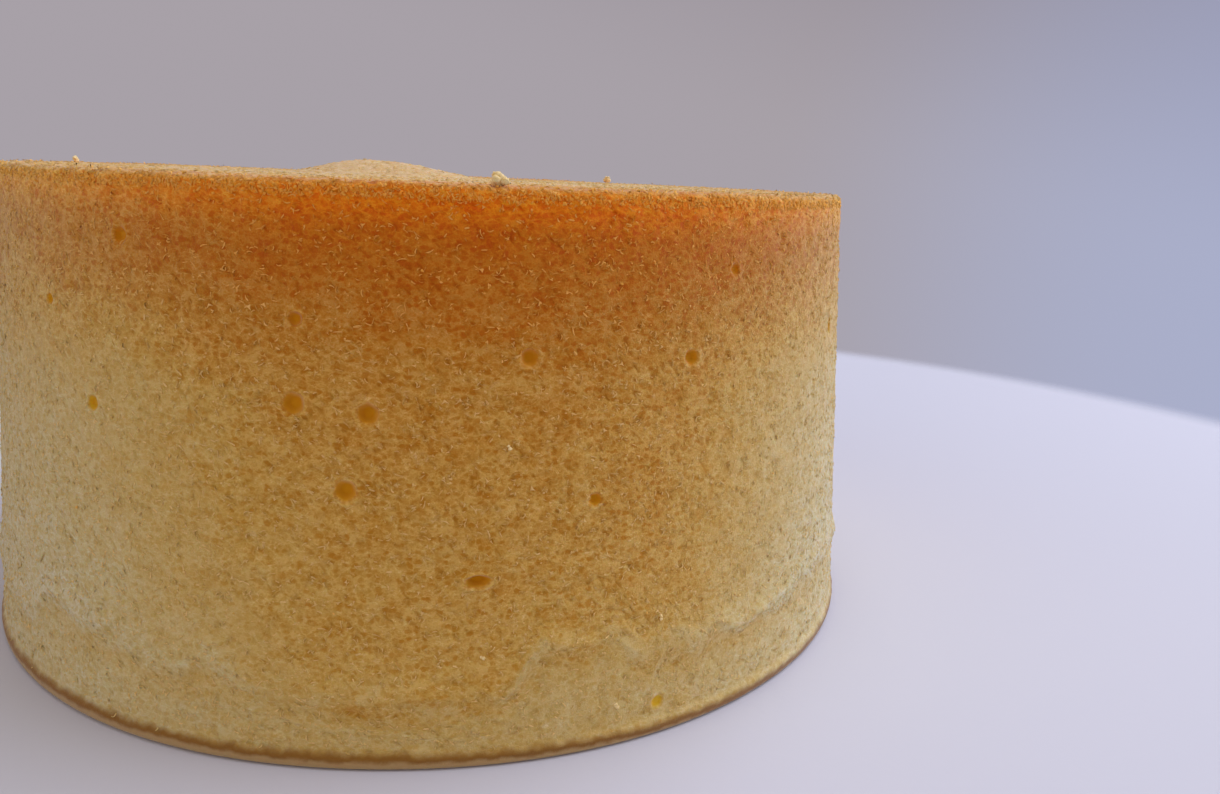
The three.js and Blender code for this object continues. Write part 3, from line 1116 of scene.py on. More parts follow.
class CrumbTemplates:
    """Makes the small meshes that crumbs are copied from."""

    variants: int = 8

    def make(self, shape: CrumbShape, rng: np.random.Generator) -> list[Template]:
        """Makes a few variants of one shape.

        Args:
            shape: Which shape to make.
            rng: Where its unevenness comes from.

        Returns:
            The variants.
        """
        makers = {
            CrumbShape.SHRED: self._shred,
            CrumbShape.THREAD: self._thread,
            CrumbShape.FORK: self._fork,
            CrumbShape.GRAIN: self._grain,
            CrumbShape.LUMP: self._lump,
        }
        return [self._read(makers[shape](rng)) for _ in range(self.variants)]

    def _sliver(self, rings: int, swell: Callable[[float], float]) -> BMesh:
        """Makes a three-sided sliver along X, pointed at both ends.

        Args:
            rings: How many rings it has between its tips.
            swell: Gives how thick it is at each X, beside an even one.

        Returns:
            The mesh.
        """
        bm = bmesh.new()
        bmesh.ops.create_cone(bm, cap_ends=True, segments=3, radius1=0.5, radius2=0.5, depth=0.6)
        caps = [face for face in bm.faces if len(face.verts) == 3]
        upright = [edge for edge in bm.edges if abs(edge.verts[0].co.z - edge.verts[1].co.z) > 0.1]
        tips = bmesh.ops.poke(bm, faces=caps)["verts"]
        for tip in tips:
            tip.co.z = math.copysign(0.5, tip.co.z)
        if rings > 2:
            bmesh.ops.subdivide_edges(bm, edges=upright, cuts=rings - 2)
        bmesh.ops.rotate(bm, verts=bm.verts, matrix=Matrix.Rotation(math.pi / 2, 3, "Y"))
        for vert in bm.verts:
            thick = swell(vert.co.x)
            vert.co.y *= thick
            vert.co.z *= thick
        return bm

    def _ball(self, subdivisions: int, swell: Callable[[Vector], float]) -> BMesh:
        """Makes an uneven ball.

        Args:
            subdivisions: How finely it is cut.
            swell: Gives how far out each of its points lies, beside an even one.

        Returns:
            The mesh.
        """
        bm = bmesh.new()
        bmesh.ops.create_icosphere(bm, subdivisions=subdivisions, radius=0.5)
        for vert in bm.verts:
            vert.co *= swell(vert.co)
        return bm

    def _shred(self, rng: np.random.Generator) -> BMesh:
        """Returns a sliver that is thicker towards one end."""
        lean = rng.uniform(-0.8, 0.8)
        return self._sliver(2, lambda x: 1.0 + lean * x)

    def _thread(self, rng: np.random.Generator) -> BMesh:
        """Returns a long sliver of uneven thickness."""
        turns = rng.uniform(4.0, 9.0)
        return self._sliver(4, lambda x: 1.0 + 0.3 * math.sin(turns * x))

    def _fork(self, rng: np.random.Generator) -> BMesh:
        """Makes three thin arms that meet.

        Args:
            rng: Where their unevenness comes from.

        Returns:
            The mesh.
        """
        bm = bmesh.new()
        bmesh.ops.create_cone(bm, cap_ends=True, segments=3, radius1=0.13, radius2=0.13, depth=0.14)
        sides = [face for face in bm.faces if len(face.verts) == 4]
        tips = bmesh.ops.poke(bm, faces=sides)["verts"]
        for tip in tips:
            reach = rng.uniform(0.25, 0.62) / tip.co.length
            turn = Matrix.Rotation(rng.uniform(-0.35, 0.35), 3, "Z")
            tip.co = turn @ (tip.co * reach)
            tip.co.z -= rng.uniform(0.02, 0.12)
        return bm

    def _grain(self, rng: np.random.Generator) -> BMesh:
        """Returns a grain with few faces."""
        return self._ball(1, lambda at: rng.uniform(0.72, 1.15))

    def _lump(self, rng: np.random.Generator) -> BMesh:
        """Returns an uneven lump."""
        shift = Vector(rng.uniform(-9.0, 9.0, 3))
        return self._ball(2, lambda at: 1.0 + 0.55 * noise.noise(at * 3.0 + shift) + rng.uniform(-0.08, 0.08))

    def _read(self, bm: BMesh) -> Template:
        """Reads a mesh, and frees it.

        Args:
            bm: The mesh.

        Returns:
            The same as a template, in triangles that face outwards.
        """
        bmesh.ops.triangulate(bm, faces=bm.faces)
        bmesh.ops.recalc_face_normals(bm, faces=bm.faces)
        bm.verts.index_update()
        verts = np.array([vert.co for vert in bm.verts])
        faces = np.array([[vert.index for vert in face.verts] for face in bm.faces])
        bm.free()
        return Template(verts, faces)


@dataclass
class Crumbs:
    """The small crumbs of one kind, joined in one mesh on the cake's surface.

    Attributes:
        level: How far they turn from level: 1 is any way, and 0 is level.
        flatness: How thick a crumb is for its width, unless it is a lump.
        own_share: How far their own facets show in their shading.
        bow_level: Where along a bent crumb its bend crosses its place, squared.
        droop: How far its tips turn down to the cake.
    """

    kind: CrumbKind
    level: float = 0.65
    flatness: float = 0.6
    own_share: float = 0.35
    bow_level: float = 0.08
    droop: float = 0.25

    def build(self, surface: Surface, finish: "CrumbFinish") -> bpy.types.Object:
        """Strews the crumbs over the cake.

        Args:
            surface: The cake's surface.
            finish: What the crumbs are made of.

        Returns:
            The finished piece.
        """
        kind = self.kind
        rng = np.random.default_rng(kind.seed)
        if kind.round_pores:
            spots = surface.round_pores(kind.count, PORE_GAP, rng)
        else:
            spots = surface.scatter(kind.count, kind.rim_share, rng)
        sizes = [rng.uniform(*span, kind.count) for span in (kind.lengths, kind.widths, kind.bend)]
        axes = self._axes(spots, rng)
        shapes = CrumbTemplates().make(kind.shape, rng)
        pick = rng.integers(len(shapes), size=kind.count)
        numbers = spots.numbers | {"tone": rng.random(kind.count)}
        verts, faces, owners = [], [], []
        filled = 0
        for number, shape in enumerate(shapes):
            chosen = np.flatnonzero(pick == number)
            verts.append(self._lay(shape, spots, axes, sizes, chosen))
            steps = filled + np.arange(len(chosen))[:, None, None] * len(shape.verts)
            faces.append((shape.faces[None, :, :] + steps).reshape(-1, 3))
            owners.append(np.repeat(chosen, len(shape.verts)))
            filled += len(owners[-1])
        mesh = bpy.data.meshes.new(kind.name)
        mesh.from_pydata((np.concatenate(verts) * MM).tolist(), [], np.concatenate(faces).tolist())
        owner = np.concatenate(owners)
        for name, values in numbers.items():
            mesh.attributes.new(name, "FLOAT", "POINT").data.foreach_set("value", values[owner])
        mesh.update()
        piece = tie_piece(mesh, kind.name, finish.material())
        self._face_out(mesh, spots.normals[owner])
        return piece

    def _lay(self, shape: Template, spots: Spots, axes: Array, sizes: list[Array], chosen: Array) -> Array:
        """Lays copies of one small mesh on the cake.

        Args:
            shape: The small mesh.
            spots: Where the crumbs lie.
            axes: Each crumb's own axes.
            sizes: The crumbs' lengths, widths and bends.
            chosen: Which crumbs are copies of this mesh.

        Returns:
            The copies' vertices, one row each.
        """
        length, width, bend = (values[chosen] for values in sizes)
        size = np.column_stack([length, width, width * self._thickness()])
        local = shape.verts[None, :, :] * size[:, None, :]
        bow = shape.verts[:, 0] ** 2 - self.bow_level
        local[:, :, 1] += bow[None, :] * (bend * length)[:, None]
        local[:, :, 2] -= self.droop * bow[None, :] * length[:, None]
        place = np.einsum("nvk,nkj->nvj", local, axes[chosen])
        place += (spots.places + spots.normals * self.kind.lift)[chosen][:, None, :]
        return place.reshape(-1, 3)

    def _thickness(self) -> float:
        """Returns how thick a crumb is for its width."""
        return 1.0 if self.kind.shape is CrumbShape.LUMP else self.flatness

    def _face_out(self, mesh: bpy.types.Mesh, normals: Array) -> None:
        """Shades the crumbs mostly the way the surface under them faces.

        Args:
            mesh: The joined crumbs.
            normals: The way the surface faces under each vertex.
        """
        own = np.empty(len(mesh.vertices) * 3, np.float32)
        mesh.vertices.foreach_get("normal", own)
        facing = unit(mix(normals, own.reshape(-1, 3), self.own_share))
        mesh.normals_split_custom_set_from_vertices(facing.tolist())

    def _axes(self, spots: Spots, rng: np.random.Generator) -> Array:
        """Turns the crumbs.

        Args:
            spots: Where they lie.
            rng: Where the draws come from.

        Returns:
            Each crumb's own axes, with X mostly along the surface and Y towards its centre.
        """
        normals = spots.normals
        inward = spots.centres - spots.places
        if self.kind.round_pores:
            along = unit(np.cross(inward, normals))
        else:
            lean = rng.normal(size=normals.shape) * (1.0, 1.0, self.level)
            along = unit(lean - normals * np.sum(lean * normals, axis=1)[:, None])
        tip = rng.uniform(-self.kind.stand, self.kind.stand, len(normals))[:, None]
        along = unit(along + normals * tip + UP * self.kind.upright)
        side = unit(np.cross(normals, along))
        return np.stack([along, side, np.cross(along, side)], 1)


@dataclass(frozen=True)
class Clump:
    """A loose crumb that shows on its own: its degrees from the front, height, width and count of lumps."""

    angle: float
    z: float
    width: float
    lumps: int


@dataclass
class LooseCrumbs:
    """The few crumbs that show one by one, on the rim and the side."""

    form: CakeForm
    clumps: tuple[Clump, ...] = (
        Clump(5.0, 74.0, 2.2, 9),
        Clump(17.3, 5.6, 1.0, 4),
        Clump(5.9, 42.3, 0.8, 3),
        Clump(22.3, 17.0, 0.9, 3),
        Clump(3.4, 14.9, 0.8, 3),
        Clump(-101.0, 73.3, 1.6, 6),
        Clump(146.0, 73.4, 1.9, 7),
        Clump(118.0, 30.9, 0.9, 3),
        Clump(-160.0, 21.9, 1.0, 4),
    )
    rim_inset: float = 1.1
    lump_sizes: tuple[float, float] = (0.35, 0.6)
    spread: float = 0.32
    unevenness: float = 0.7
    seed: int = 31
    name: str = "loose_crumbs"

    def build(self, finish: "CrumbFinish") -> bpy.types.Object:
        """Models the crumbs, each a clump of uneven lumps, and dresses them.

        Args:
            finish: What the crumbs are made of.

        Returns:
            The finished piece.
        """
        rng = np.random.default_rng(self.seed)
        bm = bmesh.new()
        for clump in self.clumps:
            self._add_clump(bm, clump, rng)
        bmesh.ops.scale(bm, verts=bm.verts, vec=(MM, MM, MM))
        for name, value in (("brown", 0.1), ("light", 0.0), ("top", 0.0), ("tone", 0.95)):
            write_number(bm, name, np.full(len(bm.verts), value))
        mesh = bpy.data.meshes.new(self.name)
        bm.to_mesh(mesh)
        bm.free()
        return tie_piece(mesh, self.name, finish.material())

    def _add_clump(self, bm: BMesh, clump: Clump, rng: np.random.Generator) -> None:
        """Adds one clump to the mesh.

        Args:
            bm: Where it is added.
            clump: Where it lies and how big it is.
            rng: Where its unevenness comes from.
        """
        on_rim = clump.z >= self.form.height
        centre = self.form.side_place(clump.angle, clump.z)
        if on_rim:
            centre -= Vector((centre.x, centre.y, 0.0)).normalized() * self.rim_inset
        for _ in range(clump.lumps):
            size = clump.width * rng.uniform(*self.lump_sizes)
            spread = Vector(rng.uniform(-self.spread, self.spread, 3)) * clump.width
            spread.z = abs(spread.z) * 1.2 if on_rim else spread.z
            lump = bmesh.ops.create_icosphere(bm, subdivisions=2, radius=size / 2.0)["verts"]
            shift = Vector(rng.uniform(-9.0, 9.0, 3))
            for vert in lump:
                vert.co *= 1.0 + self.unevenness * noise.noise(vert.co / size * 4.0 + shift)
                vert.co += centre + spread


MIX_A, MIX_B, MIX_OUT = 6, 7, 2


class NodeSheet:
    """A node tree, with short ways to add what the finishes use."""

    def __init__(self, tree: bpy.types.NodeTree) -> None:
        """Empties a tree and keeps it."""
        tree.nodes.clear()
        self.tree = tree

    def add(self, kind: str, inputs: dict | None = None, **settings: object) -> bpy.types.Node:
        """Adds a node.

        Args:
            kind: The node's type name.
            inputs: Values or sockets for its inputs, by name or number.
            **settings: The node's own properties.

        Returns:
            The node.
        """
        node = self.tree.nodes.new(kind)
        for name, value in settings.items():
            setattr(node, name, value)
        for key, value in (inputs or {}).items():
            if isinstance(value, Socket):
                self.tree.links.new(value, node.inputs[key])
            else:
                node.inputs[key].default_value = value
        return node

    def math(self, operation: str, *values: object, clamp: bool = False) -> Socket:
        """Returns the result of a sum on numbers or sockets."""
        inputs = dict(enumerate(values))
        return self.add("ShaderNodeMath", inputs, operation=operation, use_clamp=clamp).outputs[0]

    def vector(self, operation: str, *values: object) -> Socket:
        """Returns the result of a sum on vectors."""
        node = self.add("ShaderNodeVectorMath", dict(enumerate(values)), operation=operation)
        return node.outputs["Value" if operation in ("LENGTH", "DOT_PRODUCT") else "Vector"]

    def ease(self, value: object, low: float, high: float, start: float = 0.0, end: float = 1.0,
             shape: str = "SMOOTHSTEP") -> Socket:
        """Returns a value mapped from low..high to start..end, along a curve, and held at both ends."""
        inputs = {"Value": value, "From Min": low, "From Max": high, "To Min": start, "To Max": end}
        return self.add("ShaderNodeMapRange", inputs, interpolation_type=shape, clamp=True).outputs["Result"]

    def blend(self, share: object, low: object, high: object) -> Socket:
        """Returns a mix of two colours."""
        inputs = {0: share, MIX_A: opaque(low), MIX_B: opaque(high)}
        return self.add("ShaderNodeMix", inputs, data_type="RGBA", clamp_factor=True).outputs[MIX_OUT]

    def tint(self, colour: Socket, by: Colour, share: object) -> Socket:
        """Returns a colour that is multiplied by another as far as share says."""
        return self.blend(share, colour, self.vector("MULTIPLY", colour, by))

    def ramp(self, share: object, stops: tuple[tuple[float, Colour], ...]) -> Socket:
        """Adds a colour that changes with a share.

        Args:
            share: How far to go, from 0 to 1.
            stops: The shares and the colours there.

        Returns:
            The colour.
        """
        node = self.add("ShaderNodeValToRGB", {"Fac": share})
        elements = node.color_ramp.elements
        while len(elements) < len(stops):
            elements.new(0.5)
        for element, (place, colour) in zip(elements, stops):
            element.position = place
            element.color = opaque(colour)
        return node.outputs["Color"]

    def noise(self, vector: object, scale: float, detail: float = 2.0,
              roughness: float = 0.5) -> bpy.types.Node:
        """Returns a noise node."""
        inputs = {"Vector": vector, "Scale": scale, "Detail": detail, "Roughness": roughness}
        return self.add("ShaderNodeTexNoise", inputs)

    def number(self, name: str) -> Socket:
        """Returns one of the piece's own numbers."""
        return self.add("ShaderNodeAttribute", attribute_name=name).outputs["Fac"]

    def millimetres(self) -> Socket:
        """Returns the point on the piece in millimetres."""
        point = self.add("ShaderNodeTexCoord").outputs["Object"]
        return self.add("ShaderNodeMapping", {"Vector": point, "Scale": (1.0 / MM,) * 3}).outputs["Vector"]

    def shader(self, colour: object, relief: Socket, bump: tuple[float, float], inputs: dict) -> Socket:
        """Adds a surface with fine relief.

        Args:
            colour: Its colour.
            relief: How high each point is, from 0 to 1.
            bump: The relief's strength, and its depth in metres.
            inputs: The surface's other values.

        Returns:
            The surface.
        """
        strength, depth = bump
        bumps = self.add("ShaderNodeBump", {"Strength": strength, "Distance": depth, "Height": relief})
        inputs = {"Base Color": opaque(colour), **inputs, "Normal": bumps.outputs["Normal"]}
        return self.add("ShaderNodeBsdfPrincipled", inputs).outputs["BSDF"]


def opaque(colour: object) -> object:
    """Returns a colour of three numbers with its fourth, or a socket as it is."""
    return colour if isinstance(colour, Socket) else (*colour, 1.0)


def new_material(name: str) -> tuple[bpy.types.Material, NodeSheet]:
    """Makes an empty material.

    Args:
        name: What it is called.

    Returns:
        The material and its sheet.
    """
    material = bpy.data.materials.new(name)
    material.use_nodes = True
    return material, NodeSheet(material.node_tree)


PALEST = -0.3
SKIN_STOPS = (
    (-0.3, (0.69, 0.545, 0.25)),
    (-0.2, (0.69, 0.518, 0.198)),
    (0.0, (0.685, 0.445, 0.12)),
    (0.2, (0.665, 0.375, 0.068)),
    (0.4, (0.635, 0.303, 0.04)),
    (0.6, (0.6, 0.235, 0.017)),
    (0.8, (0.59, 0.179, 0.006)),
    (1.0, (0.605, 0.142, 0.001)),
)
TOP_TINT: Colour = (0.87, 0.87, 1.25)
# Painted glow: skin made lighter towards the rim, standing for light let through its thin edge.
RIM_PAINTED_GLOW_TINT: Colour = (1.75, 1.7, 1.4)


def skin_colour(sheet: NodeSheet, brown: Socket) -> Socket:
    """Adds the nodes for the skin's mean colour.

    Args:
        sheet: Where they are added.
        brown: How brown the skin is.

    Returns:
        The colour.
    """
    stops = tuple(((place - PALEST) / (1.0 - PALEST), colour) for place, colour in SKIN_STOPS)
    skin = sheet.ramp(sheet.ease(brown, PALEST, 1.0, shape="LINEAR"), stops)
    # Paints the glow towards the rim, as far as the light number says.
    skin = sheet.tint(skin, RIM_PAINTED_GLOW_TINT, sheet.number("light"))
    return sheet.tint(skin, TOP_TINT, sheet.ease(sheet.number("top"), 0.1, 0.8))


@dataclass(frozen=True)
class SpongeFinish:
    """The baked sponge: an open crumb, browned towards the rim, with a thin brown crust below."""

    crust: Colour = (0.3, 0.135, 0.02)
    # The crust's foot: partly its own paler colour, partly painted light bounced up from the floor.
    crust_foot_and_painted_bounce: Colour = (0.52, 0.33, 0.13)
    # Painted shade deep in the open cells: darker and more saturated colour.
    cell_painted_shade_tint: Colour = (0.84, 0.66, 0.22)
    pale_tint: Colour = (1.16, 1.32, 1.9)
    wisp_tint: Colour = (1.16, 1.36, 2.1)
    hot_wisp_tint: Colour = (0.94, 1.06, 2.3)
    hot_cell_painted_shade_tint: Colour = (1.08, 1.0, 0.5)
    # Pits: painted browner, redder and less blue, standing for light scattered in the crumb round them.
    pit_painted_glow_brown: tuple[float, float] = (0.5, 0.65)
    pit_painted_glow_tint: Colour = (1.12, 1.06, 0.16)
    ring_tint: Colour = (1.06, 1.13, 1.3)
    crust_line: tuple[float, float] = (2.9, 1.6)
    painted_bounce_line: tuple[float, float] = (1.55, 0.8)
    contrast: tuple[float, float] = (0.45, 1.1)
    contrast_span: tuple[float, float] = (-0.05, 0.42)
    hot_span: tuple[float, float] = (0.35, 0.85)
    main_size: float = 0.95
    fine_size: float = 0.5
    bump_height: float = 0.1

    def material(self) -> bpy.types.Material:
        """Mixes the material.

        Returns:
            The material.
        """
        material, sheet = new_material("sponge_crumb")
        place = sheet.millimetres()
        pit = sheet.number("pit")
        grain = sheet.noise(place, 4.5, 3.0, 0.6).outputs["Fac"]
        closed = sheet.ease(pit, 0.0, 0.45, 1.0, 0.0)
        openness = self._openness(sheet, place, grain, closed)
        brown = sheet.number("brown")
        # Painted glow in the pits: browner skin there.
        browner = sheet.math("SUBTRACT", self.pit_painted_glow_brown[0], brown)
        brown = sheet.math("MULTIPLY_ADD", sheet.math("MULTIPLY", pit, self.pit_painted_glow_brown[1]), browner, brown)
        skin = skin_colour(sheet, brown)
        contrast = sheet.ease(brown, *self.contrast_span, *self.contrast)
        pale = sheet.math("MULTIPLY", contrast, sheet.ease(openness, 0.0, 0.4, 1.0, 0.0, "LINEAR"))
        # Painted shade: deep in an open cell the colour is darker and more saturated.
        deep = sheet.math("MULTIPLY", contrast, sheet.ease(openness, 0.4, 1.0, 0.0, 1.0, "LINEAR"))
        wisps = sheet.math("MULTIPLY", contrast, sheet.math("MULTIPLY", self._wisps(sheet, place), closed))
        hot = sheet.ease(brown, *self.hot_span)
        hot_wisps = sheet.math("MULTIPLY", sheet.math("MAXIMUM", pale, wisps), hot)
        hot_cell_painted_shade = sheet.math("MULTIPLY", deep, hot)
        for tint, share in ((self.pale_tint, pale), (self.cell_painted_shade_tint, deep), (self.wisp_tint, wisps),
                            (self.hot_wisp_tint, hot_wisps), (self.hot_cell_painted_shade_tint, hot_cell_painted_shade)):
            skin = sheet.tint(skin, tint, share)
        # Painted glow in the pits: redder and much less blue.
        skin = sheet.tint(skin, self.pit_painted_glow_tint, sheet.ease(pit, 0.0, 0.4))
        skin = sheet.tint(skin, self.ring_tint, sheet.number("ring"))
        # Lighter crust foot below the line: partly its own colour, partly painted bounce light from the
        # floor.
        crust = sheet.blend(self._below(sheet, place, *self.painted_bounce_line), self.crust, self.crust_foot_and_painted_bounce)
        colour = sheet.blend(self._below(sheet, place, *self.crust_line), skin, crust)
        relief = sheet.math("MULTIPLY", grain, closed)
        shader = sheet.shader(colour, relief, (1.0, self.bump_height * MM), {
            "Roughness": 0.9,
            "Specular IOR Level": 0.04,
            "Subsurface Weight": 0.25,
            "Subsurface Radius": (1.0, 0.42, 0.12),
            "Subsurface Scale": 1.6 * MM,
            "Sheen Weight": 0.27,
            "Sheen Roughness": 0.5,
            "Sheen Tint": (0.75, 0.85, 1.0, 1.0),
        })
        sheet.add("ShaderNodeOutputMaterial", {"Surface": shader})
        return material

    def _openness(self, sheet: NodeSheet, place: Socket, grain: Socket, closed: Socket) -> Socket:
        """Adds the open cells of the crumb.

        Args:
            sheet: Where the nodes are added.
            place: The point in millimetres.
            grain: A fine unevenness.
            closed: 1 where the crumb may be open, and 0 in a pit.

        Returns:
            How open the crumb is, from 0 on a pale wall to 1 deep in a cell.
        """
        swirl = sheet.noise(place, 0.9, 2.0).outputs["Color"]
        bent = sheet.vector("MULTIPLY_ADD", swirl, (1.2, 1.2, 1.2), place)
        flat = sheet.vector("MULTIPLY", bent, (1.0, 1.0, 1.45))
        wide = self._open_cells(sheet, flat, self.main_size, 1.0)
        fine = self._open_cells(sheet, flat, self.fine_size, 0.6)
        openness = sheet.math("MAXIMUM", sheet.math("MAXIMUM", wide, fine), sheet.number("pore"))
        openness = sheet.math("ADD", openness, sheet.ease(grain, 0.3, 0.7, -0.2, 0.2, "LINEAR"))
        level = sheet.vector("MULTIPLY", place, (1.0, 1.0, 1.5))
        patch = sheet.noise(level, 0.3, 2.0).outputs["Fac"]
        openness = sheet.math("ADD", openness, sheet.ease(patch, 0.3, 0.7, -0.22, 0.19, "LINEAR"))
        openness = sheet.math("MULTIPLY", openness, closed)
        return sheet.math("MULTIPLY_ADD", sheet.math("SUBTRACT", 1.0, closed), 0.4, openness, clamp=True)

    def _open_cells(self, sheet: NodeSheet, place: Socket, size: float, most: float) -> Socket:
        """Adds soft, round cells of uneven strength.

        Args:
            sheet: Where the nodes are added.
            place: The point in millimetres.
            size: How wide the cells are.
            most: How open the most open one is.

        Returns:
            How open the crumb is.
        """
        cell = sheet.add("ShaderNodeTexVoronoi", {"Vector": place, "Scale": 1.0 / size})
        chance = sheet.add("ShaderNodeSeparateColor", {0: cell.outputs["Color"]}).outputs[0]
        inside = sheet.ease(cell.outputs["Distance"], 0.25, 0.8, most, 0.0)
        return sheet.math("MULTIPLY", inside, sheet.ease(chance, 0.0, 0.9, 0.2, 1.0, "LINEAR"))

    def _wisps(self, sheet: NodeSheet, place: Socket) -> Socket:
        """Adds pale, level strands of cell wall.

        Args:
            sheet: Where the nodes are added.
            place: The point in millimetres.

        Returns:
            How much of a strand shows, from 0 to 1.
        """
        level = sheet.vector("MULTIPLY", place, (1.0, 1.0, 2.3))
        strands = sheet.noise(level, 0.8, 3.0, 0.62)
        middle = sheet.math("ABSOLUTE", sheet.math("SUBTRACT", strands.outputs["Fac"], 0.5))
        shares = sheet.add("ShaderNodeSeparateColor", {0: strands.outputs["Color"]})
        return sheet.math("MULTIPLY", sheet.ease(middle, 0.0, 0.045, 1.0, 0.0),
                          sheet.ease(shares.outputs[1], 0.42, 0.62))

    def _below(self, sheet: NodeSheet, place: Socket, high: float, low: float) -> Socket:
        """Adds an uneven line round the cake's foot.

        Args:
            sheet: Where the nodes are added.
            place: The point in millimetres.
            high: The height over which nothing lies below the line.
            low: The height under which everything does.

        Returns:
            How far the point lies below the line, from 0 to 1.
        """
        z = sheet.add("ShaderNodeSeparateXYZ", {0: place}).outputs["Z"]
        ragged = sheet.ease(sheet.noise(place, 0.5, 3.0).outputs["Fac"], 0.3, 0.7, -0.2, 0.2)
        edge = sheet.math("ADD", sheet.math("ADD", z, ragged), sheet.number("thin"))
        return sheet.ease(edge, high, low)


@dataclass(frozen=True)
class CrumbFinish:
    """The thin cell walls and crumbs that stand off the sponge: the same crumb, mostly unbrowned."""

    name: str
    wall: Colour = (0.88, 0.6, 0.24)
    hot_wall: Colour = (0.94, 0.46, 0.1)
    pale: tuple[float, float] = (0.1, 0.95)

    def material(self) -> bpy.types.Material:
        """Mixes the material.

        Returns:
            The material.
        """
        material, sheet = new_material(self.name)
        place = sheet.millimetres()
        brown = sheet.number("brown")
        skin = skin_colour(sheet, brown)
        tone = sheet.ease(sheet.number("tone"), 0.1, 1.0, self.pale[0], self.pale[1], "LINEAR")
        colour = sheet.blend(tone, skin, sheet.blend(sheet.ease(brown, 0.2, 0.9), self.wall, self.hot_wall))
        grain = sheet.noise(place, 4.0, 2.0).outputs["Fac"]
        colour = sheet.tint(colour, (0.9, 0.8, 0.5), sheet.ease(grain, 0.45, 0.75))
        surface = {"Roughness": 0.8, "Specular IOR Level": 0.1}
        shader = sheet.shader(colour, grain, (0.6, 0.05 * MM), surface)
        sheet.add("ShaderNodeOutputMaterial", {"Surface": shader})
        return material


@dataclass(frozen=True)
class RimCrumbPaintedGlowFinish(CrumbFinish):
    """The crumbs along the rim, with lighter walls painted as the glow of light let through them."""

    wall: Colour = (1.0, 0.58, 0.16)
    hot_wall: Colour = (1.0, 0.48, 0.08)
    pale: tuple[float, float] = (0.35, 1.0)


@dataclass(frozen=True)
class FloorFinish:
    """A plain pale sheet that fades into the backdrop at its edge."""

    colour: Colour = (0.655, 0.65, 0.685)
    fade_from: float = 0.268
    fade_to: float = 0.292

    def material(self) -> bpy.types.Material:
        """Mixes the material.

        Returns:
            The material.
        """
        material, sheet = new_material("pale_floor")
        point = sheet.add("ShaderNodeTexCoord").outputs["Object"]
        away = sheet.vector("LENGTH", point)
        grain = sheet.noise(point, 900.0, 2.0).outputs["Fac"]
        surface = {"Roughness": 0.75, "Specular IOR Level": 0.2}
        shader = sheet.shader(self.colour, grain, (0.15, 0.1 * MM), surface)
        clear = sheet.add("ShaderNodeBsdfTransparent")
        share = sheet.ease(away, self.fade_from, self.fade_to)
        shown = sheet.add("ShaderNodeMixShader", {0: share, 1: shader, 2: clear.outputs[0]})
        sheet.add("ShaderNodeOutputMaterial", {"Surface": shown.outputs[0]})
        return material


@dataclass(frozen=True)
class Lamp:
    """A soft square lamp that faces the cake: where it stands, its size, power and colour."""

    name: str
    place: tuple[float, float, float]
    size: float
    power: float
    colour: Colour = (1.0, 1.0, 1.0)

    def build(self) -> None:
        """Adds the lamp to the scene."""
        light = bpy.data.lights.new(self.name, "AREA")
        light.shape = "SQUARE"
        light.size = self.size
        light.energy = self.power
        light.color = self.colour
        lamp = bpy.data.objects.new(self.name, light)
        lamp.location = self.place
        aim = Vector((0.0, 0.0, 0.04)) - Vector(self.place)
        lamp.rotation_euler = aim.to_track_quat("-Z", "Y").to_euler()
        bpy.context.scene.collection.objects.link(lamp)


@dataclass(frozen=True)
class Viewpoint:
    """The photograph's viewpoint: close in front of the cake, just above its top."""

    distance: float = 187.4
    height: float = 75.9
    yaw: float = 9.923
    pitch: float = 13.274
    roll: float = 2.538
    focal_share: float = 957.66 / 1220
    sensor: float = 36.0

    def build(self) -> None:
        """Adds the camera and makes it the scene's own."""
        yaw, pitch, roll = (math.radians(value) for value in (self.yaw, self.pitch, self.roll))
        forward = Vector((math.sin(yaw) * math.cos(pitch), math.cos(yaw) * math.cos(pitch), -math.sin(pitch)))
        level = Vector((math.cos(yaw), -math.sin(yaw), 0.0))
        upright = level.cross(forward)
        right = level * math.cos(roll) + upright * math.sin(roll)
        up = upright * math.cos(roll) - level * math.sin(roll)
        camera = bpy.data.cameras.new("camera")
        camera.sensor_width = self.sensor
        camera.lens = self.focal_share * self.sensor
        camera.clip_start = 0.01
        camera.clip_end = 20.0
        view = bpy.data.objects.new("camera", camera)
        turn = Matrix((right, up, -forward)).transposed()
        view.matrix_world = Matrix.Translation((0.0, -self.distance * MM, self.height * MM)) @ turn.to_4x4()
        bpy.context.scene.collection.objects.link(view)
        bpy.context.scene.camera = view


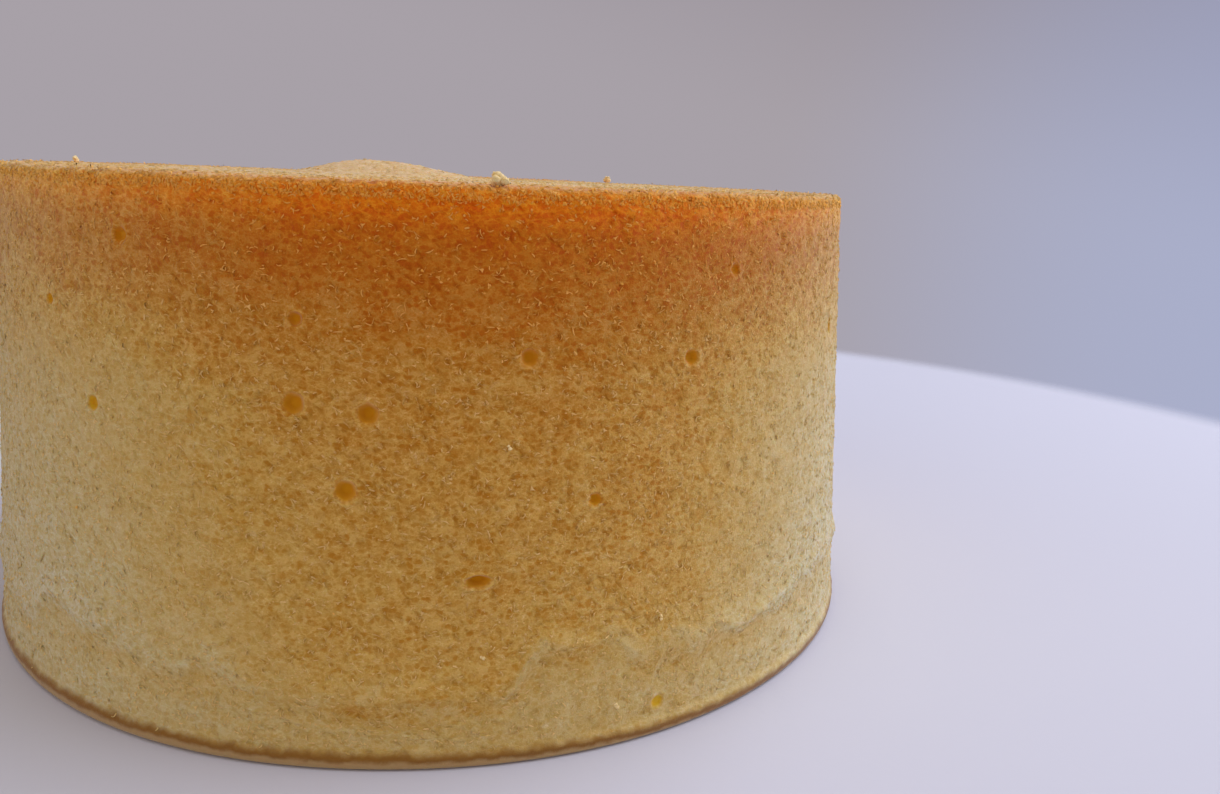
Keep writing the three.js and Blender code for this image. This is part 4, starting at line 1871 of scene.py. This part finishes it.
@dataclass(frozen=True)
class Studio:
    """The pale floor, the soft light and the plain backdrop."""

    floor_radius: float = 0.3
    lamps: tuple[Lamp, ...] = (
        Lamp("window", (1.0, 0.25, 0.7), 1.7, 17.0, (0.89, 0.97, 1.26)),
        Lamp("overhead", (0.1, -0.05, 1.1), 0.6, 2.4),
        Lamp("fill", (-0.775, -0.65, 0.6), 1.0, 2.1, (1.0, 0.98, 0.94)),
    )
    grey: Colour = (0.39, 0.355, 0.39)
    blue: Colour = (0.40, 0.43, 0.60)
    finish: FloorFinish = FloorFinish()

    def build(self) -> None:
        """Adds all of it to the scene."""
        self._floor()
        for lamp in self.lamps:
            lamp.build()
        self._backdrop()
        bpy.context.scene.view_settings.view_transform = "Standard"

    def _floor(self) -> None:
        """Adds the floor."""
        bm = bmesh.new()
        bmesh.ops.create_circle(bm, cap_ends=True, cap_tris=False, segments=96, radius=self.floor_radius)
        mesh = bpy.data.meshes.new("floor")
        bm.to_mesh(mesh)
        bm.free()
        floor = bpy.data.objects.new("floor", mesh)
        bpy.context.scene.collection.objects.link(floor)
        floor.data.materials.append(self.finish.material())

    def _backdrop(self) -> None:
        """Gives the world its colours, greyer ahead and bluer to the right."""
        world = bpy.data.worlds.new("backdrop")
        bpy.context.scene.world = world
        world.use_nodes = True
        sheet = NodeSheet(world.node_tree)
        way = sheet.add("ShaderNodeTexCoord").outputs["Generated"]
        side = sheet.vector("DOT_PRODUCT", way, (0.86, 0.5, -0.1))
        colour = sheet.blend(sheet.ease(side, 0.74, 0.98), self.grey, self.blue)
        high = sheet.vector("DOT_PRODUCT", way, (0.25, 0.0, 0.97))
        colour = sheet.tint(colour, (0.8, 0.79, 0.82), sheet.ease(high, 0.1, 0.4))
        sky = sheet.add("ShaderNodeBackground", {"Color": colour, "Strength": 1.0})
        sheet.add("ShaderNodeOutputWorld", {"Surface": sky.outputs[0]})


def main() -> None:
    """Builds the cake, its crumbs and the studio."""
    logging.basicConfig(level=logging.INFO, format="%(name)s %(message)s")
    form = CakeForm()
    cake = CakeBody(form).build(SpongeFinish())
    surface = Surface(cake, form)
    for kind in CRUMB_KINDS:
        finish = RimCrumbPaintedGlowFinish if kind.rim_share > 0.5 else CrumbFinish
        Crumbs(kind).build(surface, finish(kind.name))
    # The loose crumbs' pale cream walls are partly their own colour and partly painted light lifting their
    # shaded sides.
    LooseCrumbs(form).build(CrumbFinish("loose_crumbs", wall=(1.0, 0.78, 0.38)))
    Viewpoint().build()
    Studio().build()


if __name__ == "__main__":
    main()
